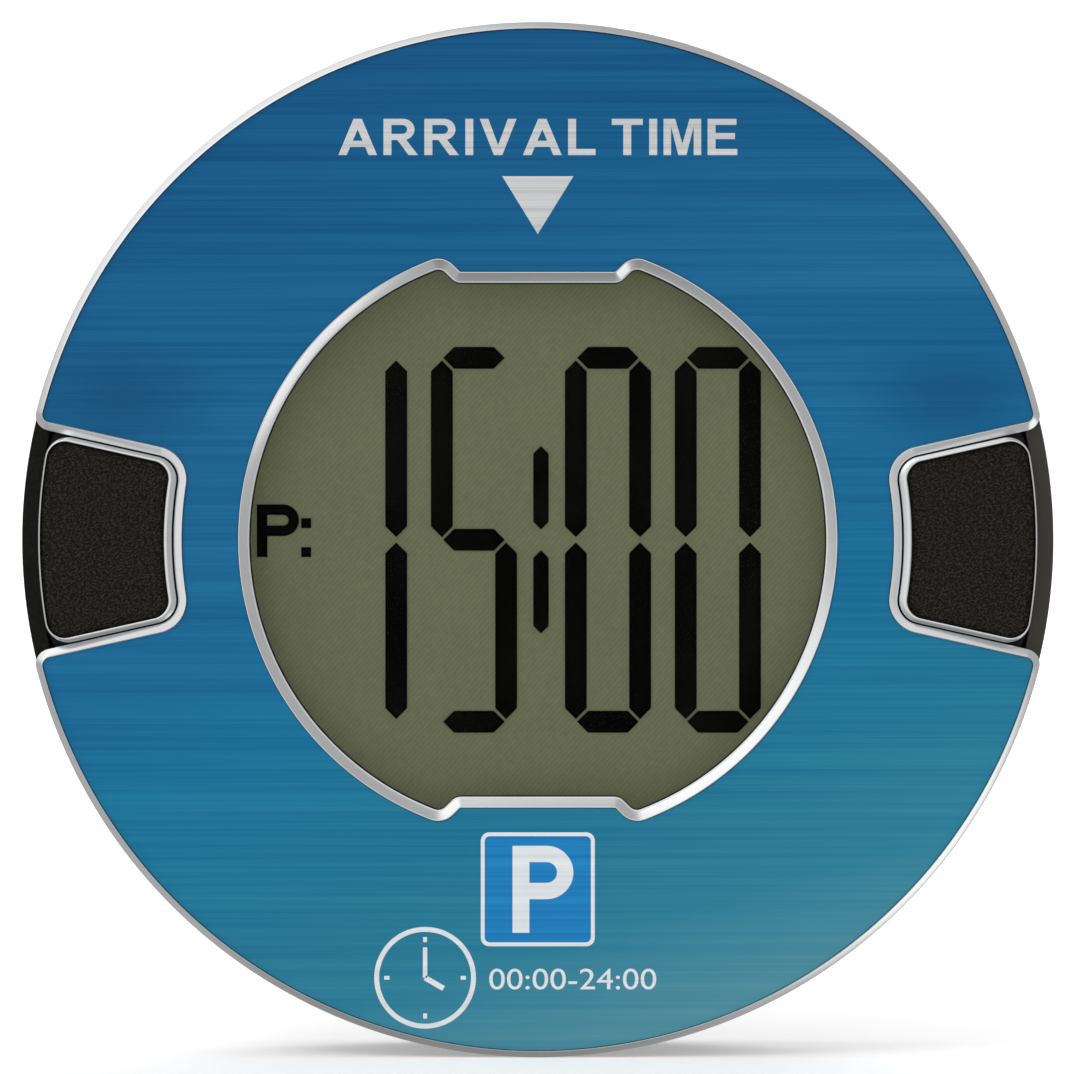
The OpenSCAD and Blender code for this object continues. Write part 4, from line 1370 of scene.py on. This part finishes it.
    def build_clock(self, centre: Point) -> None:
        """Prints the ring with a plain clock face in it."""
        ring = self.patch("clock_ring", [arc(centre, 3.93 * MM, 0, 355, 71)],
                          [arc(centre, 3.55 * MM, 0, 355, 71)])
        self.print_on(ring, SIGN_INK)
        ticks = [self.stroke(centre, a, 2.75 * MM, 3.15 * MM, 0.30 * MM)
                 for a in range(0, 360, 90)]
        hands = [self.stroke(centre, 90, 0, 2.35 * MM, 0.34 * MM),
                 self.stroke(centre, -30, 0, 1.65 * MM, 0.42 * MM)]
        pieces = [self.patch(f"clock_stroke_{i}", [s], []) for i, s in enumerate(ticks + hands)]
        self.print_on(joined("clock_strokes", pieces), SIGN_INK)

    @staticmethod
    def moved(outline: Outline, to: Point) -> Outline:
        """Moves an outline."""
        return [(x + to[0], y + to[1]) for x, y in outline]

    @staticmethod
    def stroke(centre: Point, angle: float, start: float, end: float, width: float) -> Outline:
        """Gives a straight stroke along a direction from a centre."""
        along, across = polar(1, angle), polar(width / 2, angle + 90)
        near = (centre[0] + along[0] * start, centre[1] + along[1] * start)
        far = (centre[0] + along[0] * end, centre[1] + along[1] * end)
        return [(near[0] - across[0], near[1] - across[1]),
                (far[0] - across[0], far[1] - across[1]),
                (far[0] + across[0], far[1] + across[1]),
                (near[0] + across[0], near[1] + across[1])]


# ------------------------------------------------------------------ the display


@dataclass
class Display:
    """The chromed frame, the window and the layers of the display."""

    shapes: FaceShapes
    flange_r: float = 24.6 * MM
    ledge: float = 0.35 * MM
    fit: float = 0.05 * MM
    edge: float = 0.06 * MM
    ring: float = 0.12 * MM
    clear: float = 0.01 * MM
    flange_t: float = 0.8 * MM

    def build(self) -> None:
        """Builds the frame and two of the glasses and dresses the rest."""
        self.build_frame()
        keep("display_window", WINDOW)
        keep("window_gasket", FOAM)
        self.build_front_glass()
        keep("lcd_segments", SEGMENT)
        self.build_glass("lcd_rear_glass", GROUND)
        keep("lcd_reflector", GROUND)
        keep("lcd_holder", HOLDER)
        keep("zebra_strip_top", ZEBRA)
        keep("zebra_strip_bottom", ZEBRA)

    def build_front_glass(self) -> None:
        """Builds the front glass with its polarizer as one open shell over the segments."""
        back, front = level_of("lcd_front_glass")
        top = level_of("lcd_polarizer")[1]
        glass, film = pane_of("lcd_front_glass"), pane_of("lcd_polarizer")
        shell = bmesh.new()
        loops = [[shell.verts.new(to_world(x, y, level)) for x, y in outline]
                 for outline, level in ((glass, back + self.clear), (glass, front),
                                        (film, front), (film, top))]
        for near, far in zip(loops, loops[1:]):
            for i in range(len(near)):
                j = (i + 1) % len(near)
                shell.faces.new((near[i], near[j], far[j], far[i]))
        shell.faces.new(loops[-1])
        piece = from_bmesh("display_front_glass", shell)
        install(piece, FILM, "case", "polarizer", "lcd_front_glass", "lcd_polarizer")

    def build_glass(self, node: str, finish: Finish) -> None:
        """Builds a glass with ground edges, just clear of the segments between the two."""
        back, front = level_of(node)
        piece = cut_sheet(node + "_ground", [pane_of(node)], [], back + self.clear,
                          front - self.clear, edge=0.05 * MM)
        smooth(piece)
        install(piece, finish, "case", "lcd_glass", node)

    def build_frame(self) -> None:
        """Builds the sloped frame with its flange behind the bezel."""
        low, top = level_of("display_frame")
        window_under, window_top = level_of("display_window")
        bezel_under = low + self.flange_t
        outer = self.shapes.display(0)
        flange = scaled_to(outer, self.flange_r)
        inner = -self.shapes.slope
        seat = self.shapes.display(inner + self.ledge + self.fit)
        gasket = self.shapes.display(2 * self.fit)
        rim = window_top + self.fit
        rings = [
            (flange, low), (flange, bezel_under), (outer, bezel_under),
            (outer, top - self.edge), (self.shapes.display(-self.edge * 0.35), top - 0.01 * MM),
            (self.shapes.display(-self.edge), top),
            (self.shapes.display(-self.edge * 1.8), top - 0.02 * MM),
            (self.shapes.display(inner + self.ring), rim + 0.05 * MM),
            (self.shapes.display(inner + self.ring * 0.8), rim + 0.045 * MM),
            (self.shapes.display(inner + self.ring * 0.2), rim + 0.04 * MM),
            (self.shapes.display(inner), rim + 0.02 * MM),
            (self.shapes.display(inner), window_top), (seat, window_top), (seat, window_under),
            (gasket, window_under), (gasket, low)]
        piece = swept("display_frame_chrome", rings, closed=True)
        smooth(piece, 50)
        install(piece, FRAME_CHROME, "case", "frame_chrome", "display_frame")


# ------------------------------------------------------------------ the keys


class Side(Enum):
    """The side of the disc that a key is on."""

    LEFT = "left"
    RIGHT = "right"


@dataclass
class SideKey:
    """A key: black slider, chromed trim, grained pad and the rubber dome under it.

    The trim's section gives the share of the way in and the drop there in millimetres; the
    pad's gives the distance in from the trim and the drop, both in millimetres.
    """

    side: Side
    shapes: FaceShapes
    pad_sink: float = 0.2 * MM
    dome_wall: float = 0.35 * MM
    trim_section: Section = (
        (0.0, 0.25), (0.02, 0.20), (0.06, 0.175), (0.14, 0.145), (0.24, 0.10), (0.34, 0.06),
        (0.42, 0.03), (0.50, 0.010), (0.56, 0.002), (0.62, 0.0), (0.68, 0.004), (0.73, 0.02),
        (0.79, 0.065), (0.85, 0.14), (0.92, 0.27), (1.0, 0.47),
    )
    pad_section: Section = (
        (-0.03, 0.27), (0.02, 0.20), (0.07, 0.14), (0.13, 0.09), (0.22, 0.05), (0.36, 0.02),
        (0.54, 0.004), (0.75, 0.0),
    )

    def build(self) -> None:
        """Builds the trim, the pad and the dome and dresses the slider."""
        name = self.side.value
        base, top = level_of(f"{name}_key_trim")
        floor = level_of(f"{name}_key_pad")[0]
        trim = swept(f"{name}_trim", self.trim_rings(base, top, floor))
        pad = swept(f"{name}_pad", self.pad_rings(top, floor))
        for piece in (trim, pad):
            smooth(piece, 45)
            self.turn(piece)
        install(trim, TRIM_CHROME, f"{name}_key", "trim_chrome", f"{name}_key_trim")
        install(pad, PAD, f"{name}_key", "pad_grain", f"{name}_key_pad")
        keep(f"{name}_key_slider", INNER_BLACK)
        self.build_dome()

    def build_dome(self) -> None:
        """Builds the hollow rubber dome under the key."""
        name = self.side.value
        node = f"{name}_key_dome"
        low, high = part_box(node)
        foot, top = level_of(node)
        radius = (high.x - low.x) / 2
        centre = ((high.x + low.x) / 2, (high.z + low.z) / 2)
        wall, crown = radius - 0.6 * MM, 1.55 * MM
        skin = self.dome_wall
        profile = [
            (wall - skin, foot), (radius - 0.08 * MM, foot), (radius, foot + 0.08 * MM),
            (radius, foot + 0.42 * MM), (radius - 0.08 * MM, foot + 0.5 * MM),
            (wall, foot + 0.5 * MM), (crown + 0.12 * MM, top - 0.05 * MM), (crown, top),
            (0.0, top), (0.0, top - skin), (crown - skin, top - skin), (wall - skin, foot)]
        dome = lathe(f"{name}_dome", profile, centre, 64)
        smooth(dome, 40)
        install(dome, SILICONE, "case", "dome_rubber", node)
        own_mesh(dome)

    def turn(self, piece: bpy.types.Object) -> None:
        """Turns a left-hand piece half a turn about the disc's axis."""
        if self.side is Side.LEFT:
            piece.data.transform(Matrix.Rotation(math.pi, 4, "Y"))

    def trim_rings(self, base: float, top: float, floor: float) -> list[Ring]:
        """Gives the trim's rings: up its side, over its crest and down to the pad's seat."""
        key = self.shapes.key
        return [(key(0), base),
                *((key(share), top - drop * MM) for share, drop in self.trim_section),
                (key(1.0), floor)]

    def pad_rings(self, top: float, floor: float) -> list[Ring]:
        """Gives the pad's rings: up from its seat and over a soft pillowed edge."""
        key = self.shapes.key
        high = top - self.pad_sink
        return [(key(1.0, 0.02 * MM), floor),
                *((key(1.0, inset * MM), high - drop * MM) for inset, drop in self.pad_section)]


# ------------------------------------------------------------------ the back


@dataclass
class RearShell:
    """The black case, the sliding battery cover and the screws."""

    shapes: FaceShapes
    wall: float = 1.25 * MM
    back: float = 1.4 * MM
    chamfer: float = 1.0 * MM
    cover_gap: float = 0.15 * MM
    tongue: float = 0.8 * MM
    tongue_levels: Point = (0.45 * MM, 0.95 * MM)
    head_r: float = 1.85 * MM
    head_room: float = 0.2 * MM
    grip_count: int = 5
    steps: int = 288

    def __post_init__(self) -> None:
        """Reads the case's sizes from the frame."""
        low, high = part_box("rear_case")
        self.radius = (high.x - low.x) / 2
        self.top = -low.y
        low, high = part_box("battery_cover")
        self.cover_half = (high.x - low.x) / 2 - self.tongue
        self.cover_top = high.z

    def build(self) -> None:
        """Builds the case, the cover and the screws."""
        self.build_case()
        self.build_cover()
        self.build_screws()

    def edge_profile(self) -> Outline:
        """Gives the section of the back's rounded edge, from the flat back outwards."""
        r, c = self.radius, self.chamfer
        return [(r - c - 0.25 * MM, 0), (r - c, 0.03 * MM), (r - c + 0.16 * MM, 0.12 * MM),
                (r - 0.12 * MM, c - 0.16 * MM), (r - 0.03 * MM, c), (r, c + 0.25 * MM)]

    def strip(self, name: str, side: float, up: float, levels: Point) -> bpy.types.Object:
        """Makes the strip that the cover slides in, wider and higher by a gap."""
        half = self.cover_half + side
        return bar(name, (-half, half), (-self.radius - 2 * MM, self.cover_top + up), levels)

    def build_case(self) -> None:
        """Builds the case with its slideway and screw holes."""
        r, inner = self.radius, self.radius - self.wall
        profile = [*self.edge_profile(), (r, self.top - 0.05 * MM), (r - 0.05 * MM, self.top),
                   (inner + 0.05 * MM, self.top), (inner, self.top - 0.05 * MM),
                   (inner, self.back + 0.3 * MM), (inner - 0.3 * MM, self.back)]
        case = lathe("case_shell", profile, steps=self.steps)
        gap = self.cover_gap
        grooves = (self.tongue_levels[0] - gap, self.tongue_levels[1] + gap)
        tools = [self.strip("slideway", gap, gap, (-1 * MM, self.back + gap)),
                 self.strip("grooves", self.tongue + gap, gap, grooves)]
        seat = self.head_r + self.head_room
        holes = [lathe("hole", [(seat, -MM), (seat, 9 * MM)],
                       polar(self.shapes.screw_ring, a), 48) for a in self.shapes.screw_angles]
        carve(case, tools + holes, Carving.CUT)
        under = level_of("main_board")[0]
        pillars = [self.pillar(a, under) for a in self.shapes.screw_angles]
        piece = joined("case_black", [case, *pillars])
        smooth(piece)
        install(piece, CASE, "case", "case_plastic", "rear_case")

    def pillar(self, angle: float, under: float) -> bpy.types.Object:
        """Builds one hollow screw pillar with the seat of the screw's head."""
        outer, seat, bore = 3.2 * MM, self.head_r + self.head_room, 1.15 * MM
        section = [(outer, 0.9 * MM), (outer, under), (bore, under), (bore, 1.8 * MM),
                   (seat, 1.8 * MM), (seat, 0.9 * MM)]
        return tube("pillar", section, polar(self.shapes.screw_ring, angle))

    def build_cover(self) -> None:
        """Builds the cover with its tongues, grip ridges and arrow."""
        profile = [*self.edge_profile(), (self.radius, self.back)]
        cover = lathe("cover_blank", profile, steps=self.steps)
        carve(cover, [self.strip("cover_strip", 0, 0, (-MM, self.back + MM))],
              Carving.KEEP_COMMON)
        grips = [self.grip((5.7 + 1.6 * i) * MM) for i in range(self.grip_count)]
        tip, half, length = -self.radius + 15.2 * MM, 1.9 * MM, 2.6 * MM
        arrow = [(-half, tip + length), (0, tip), (half, tip + length)]
        carve(cover, [*grips, swept("arrow", [(arrow, -MM), (arrow, 0.25 * MM)])], Carving.CUT)
        soften(cover, 0.10 * MM, 50)
        tongue = self.strip("tongues", self.tongue, 0, self.tongue_levels)
        disc = lathe("tongue_blank", [(self.radius - 0.3 * MM, -MM),
                                      (self.radius - 0.3 * MM, 3 * MM)], steps=self.steps)
        carve(tongue, [disc], Carving.KEEP_COMMON)
        for piece, label in ((cover, "cover_shell"), (tongue, "cover_tongues")):
            piece.name = label
            smooth(piece)
        install(cover, COVER, "battery_cover_body", "cover_plastic", "battery_cover")
        install(tongue, COVER, "battery_cover_body", "cover_plastic")

    def grip(self, up: float) -> bpy.types.Object:
        """Makes the tool that cuts one grip groove, at a distance up from the rim."""
        low = up - self.radius
        return bar("groove", (-8 * MM, 8 * MM), (low, low + 0.8 * MM), (-MM, 0.4 * MM))

    def build_screws(self) -> None:
        """Builds the screws with rounded heads and cross recesses."""
        low = level_of("case_screws")[0]
        for i, angle in enumerate(self.shapes.screw_angles):
            centre = polar(self.shapes.screw_ring, angle)
            r = self.head_r
            head = [(0.0, low), (r * 0.55, low + 0.03 * MM), (r * 0.85, low + 0.16 * MM),
                    (r, low + 0.5 * MM), (r, low + 1.2 * MM), (MM, low + 1.2 * MM),
                    (MM, low + 11.2 * MM), (0.5 * MM, low + 11.6 * MM)]
            screw = lathe("screw", head, centre, 48)
            slots = [self.slot(centre, angle + 30 + turn, low) for turn in (0, 90)]
            carve(screw, slots, Carving.CUT)
            screw.name = f"case_screw_{i + 1}"
            smooth(screw)
            nodes = ("case_screws",) if i == 0 else ()
            install(screw, STEEL, "case", "screw_steel", *nodes)

    @staticmethod
    def slot(centre: Point, angle: float, low: float) -> bpy.types.Object:
        """Makes the tool that cuts one slot of a cross recess."""
        start = (centre[0] + polar(-1.0 * MM, angle)[0], centre[1] + polar(-1.0 * MM, angle)[1])
        outline = FrontShell.stroke(start, angle, 0, 2.0 * MM, 0.42 * MM)
        return swept("slot", [(outline, low - MM), (outline, low + 0.7 * MM)])


# ------------------------------------------------------------------ the inside


@dataclass
class Power:
    """The coin cells, their holder and the contacts."""

    rim: float = 0.35 * MM

    def build(self) -> None:
        """Builds the cells and dresses the rest."""
        for name in ("coin_cell_left", "coin_cell_right"):
            self.build_cell(name)
        keep("battery_holder", HOLDER)
        keep("negative_contacts", BRONZE)
        keep("positive_contacts", BRONZE)

    def build_cell(self, node: str) -> None:
        """Builds a coin cell with a rolled rim and the plus sign on its flat side."""
        low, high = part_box(node)
        centre = ((low.x + high.x) / 2, (low.z + high.z) / 2)
        r, base, top = (high.x - low.x) / 2, -high.y, -low.y
        face = base + 0.06 * MM
        profile = [(r - 1.5 * MM, face), (r - 1.2 * MM, base), (r - self.rim, base),
                   (r - 0.1 * MM, base + 0.12 * MM), (r, base + self.rim),
                   (r, top - 0.65 * MM), (r - 0.15 * MM, top - 0.5 * MM),
                   (r - 0.9 * MM, top - 0.42 * MM), (r - 1.1 * MM, top - 0.55 * MM),
                   (r - 1.6 * MM, top - 0.4 * MM), (r - 1.75 * MM, top - 0.1 * MM),
                   (r - 2.0 * MM, top)]
        cell = lathe(node + "_can", profile, centre, 120)
        sign = [FrontShell.stroke(centre, a, -1.6 * MM, 1.6 * MM, 0.5 * MM) for a in (0, 90)]
        marks = [swept("plus", [(s, -MM), (s, face + 0.08 * MM)]) for s in sign]
        carve(cell, marks, Carving.CUT)
        smooth(cell)
        install(cell, CELL, "case", "cell_steel", node)


@dataclass
class Board:
    """The circuit board and what stands on it."""

    finishes: dict[str, Finish] = field(default_factory=lambda: {
        "main_board": LAMINATE,
        "microcontroller": CHIP,
        "quartz_crystal": CAN,
        "motion_sensor": CHIP,
        "chip_capacitors": CERAMIC,
        "buffer_capacitor": CAN,
        "key_contacts": GOLD,
    })

    def build(self) -> None:
        """Dresses each of the board's nodes."""
        for node, finish in self.finishes.items():
            keep(node, finish)


# ------------------------------------------------------------------ the studio


@dataclass(frozen=True)
class Softbox:
    """A soft lamp that looks at the disc."""

    name: str
    place: tuple[float, float, float]
    size: float
    power: float

    def build(self) -> None:
        """Makes the lamp, which lights the disc but is not seen in its metal."""
        lamp = bpy.data.lights.new(self.name, "AREA")
        lamp.shape = "DISK"
        lamp.size = self.size
        lamp.energy = self.power
        holder = bpy.data.objects.new(self.name, lamp)
        bpy.context.scene.collection.objects.link(holder)
        holder.visible_glossy = False
        holder.location = self.place
        holder.rotation_mode = "QUATERNION"
        holder.rotation_quaternion = (-Vector(self.place)).to_track_quat("-Z", "Y")


@dataclass(frozen=True)
class Glow:
    """A soft patch of the surroundings: where it is, where it starts and how bright it is."""

    way: tuple[float, float, float]
    start: float
    amount: float


@dataclass
class Studio:
    """The camera, the lights and the pale floor."""

    distance: float = 400 * MM
    view_width: float = 82.86 * MM
    aim: Point = (-0.06 * MM, 0.216 * MM)
    lamps: tuple[Softbox, ...] = (
        Softbox("lamp_upper_left", (-0.60, -0.85, 0.90), 0.50, 2.4),
        Softbox("lamp_front", (0.15, -1.5, 0.25), 0.9, 1.0),
        Softbox("lamp_rear", (0.3, 1.1, 0.7), 0.8, 6.0),
    )
    clipping: Point = (0.01, 20)
    base_glow: float = 0.44
    glows: tuple[Glow, ...] = (
        Glow((-0.64, -0.10, 0.77), 0.66, 0.52),
        Glow((0.78, -0.10, -0.62), 0.89, 0.70),
        Glow((-0.35, -1.0, 0.40), 0.45, 0.38),
        Glow((-0.13, 0.0, -0.99), 0.80, -0.17),
    )
    floor_half: float = 2.6
    floor_front: float = -2.2
    floor_bend: Point = (1.3, 0.5)
    floor_end: Point = (1.8, 2.4)
    floor_tone: float = 0.86
    floor_lift: float = 0.36

    def build(self) -> None:
        """Sets the camera, the lamps, the surroundings and the floor."""
        bpy.context.scene.view_settings.view_transform = "Standard"
        self.build_camera()
        for lamp in self.lamps:
            lamp.build()
        self.build_surroundings()
        self.build_floor()

    def build_camera(self) -> None:
        """Sets the camera square in front of the disc."""
        data = bpy.data.cameras.new("camera")
        data.sensor_width = 36
        data.lens = data.sensor_width * self.distance / self.view_width
        data.clip_start, data.clip_end = self.clipping
        camera = bpy.data.objects.new("camera", data)
        bpy.context.scene.collection.objects.link(camera)
        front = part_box("front_bezel")[0].y
        camera.location = (self.aim[0], front - self.distance, self.aim[1])
        camera.rotation_euler = (math.pi / 2, 0, 0)
        bpy.context.scene.camera = camera

    def build_surroundings(self) -> None:
        """Sets the soft light from all around: bright above left and below right."""
        world = bpy.data.worlds.new("studio")
        bpy.context.scene.world = world
        world.use_nodes = True
        sheet = NodeSheet(world.node_tree)
        direction = sheet.add("TexCoord").outputs["Generated"]
        strength: object = self.base_glow
        for glow in self.glows:
            strength = sheet.math("ADD", strength, self.toward(sheet, direction, glow))
        light = sheet.add("Background")
        sheet.into(light.inputs["Strength"], strength)
        light.inputs["Color"].default_value = (1.0, 1.0, 1.0, 1.0)
        plain = sheet.add("Background")
        plain.inputs["Color"].default_value = (1.0, 1.0, 1.0, 1.0)
        mix = sheet.add("MixShader")
        links = world.node_tree.links
        links.new(sheet.add("LightPath").outputs["Is Camera Ray"], mix.inputs[0])
        links.new(light.outputs[0], mix.inputs[1])
        links.new(plain.outputs[0], mix.inputs[2])
        links.new(mix.outputs[0], sheet.add("OutputWorld").inputs["Surface"])

    @staticmethod
    def toward(sheet: NodeSheet, direction: object, glow: Glow) -> bpy.types.NodeSocket:
        """Gives a soft round glow about a direction."""
        dot = sheet.add("VectorMath", operation="DOT_PRODUCT")
        sheet.into(dot.inputs[0], direction)
        dot.inputs[1].default_value = Vector(glow.way).normalized()
        return sheet.span(dot.outputs["Value"], (glow.start, 0.97), (0, glow.amount))

    def build_floor(self) -> None:
        """Lays a pale floor under the disc that curves up into a backdrop."""
        level = CAD_BOX[0].z
        start, bend = self.floor_bend
        line = [(self.floor_front, 0.0),
                *[(start + bend * math.sin(a), bend * (1 - math.cos(a)))
                  for a in (math.pi / 2 * i / 16 for i in range(17))],
                self.floor_end]
        mesh = bmesh.new()
        rows = [[mesh.verts.new((x, y, level + z)) for x in (-self.floor_half, self.floor_half)]
                for y, z in line]
        for near, far in zip(rows, rows[1:]):
            mesh.faces.new((near[0], near[1], far[1], far[0]))
        data = bpy.data.meshes.new("floor")
        mesh.to_mesh(data)
        mesh.free()
        data.shade_smooth()
        floor = new_object("floor", data)
        floor.visible_glossy = False
        material = bpy.data.materials.new("pale_floor")
        material.use_nodes = True
        shader = material.node_tree.nodes["Principled BSDF"]
        shader.inputs["Base Color"].default_value = (*[self.floor_tone] * 3, 1)
        shader.inputs["Roughness"].default_value = 0.9
        shader.inputs["Emission Color"].default_value = (1, 1, 1, 1)
        shader.inputs["Emission Strength"].default_value = self.floor_lift
        data.materials.append(material)


def main() -> None:
    """Builds the studio and then each sub-assembly in turn."""
    logging.basicConfig(level=logging.INFO, format="%(name)s: %(message)s")
    low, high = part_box("front_bezel")
    key_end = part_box("right_key_trim")[1].x
    shapes = FaceShapes(disc_r=(high.z - low.z) / 2, key_outer_r=key_end)
    Studio().build()
    FrontShell(shapes).build()
    Display(shapes).build()
    for side in Side:
        SideKey(side, shapes).build()
    RearShell(shapes).build()
    Power().build()
    Board().build()


if __name__ == "__main__":
    main()
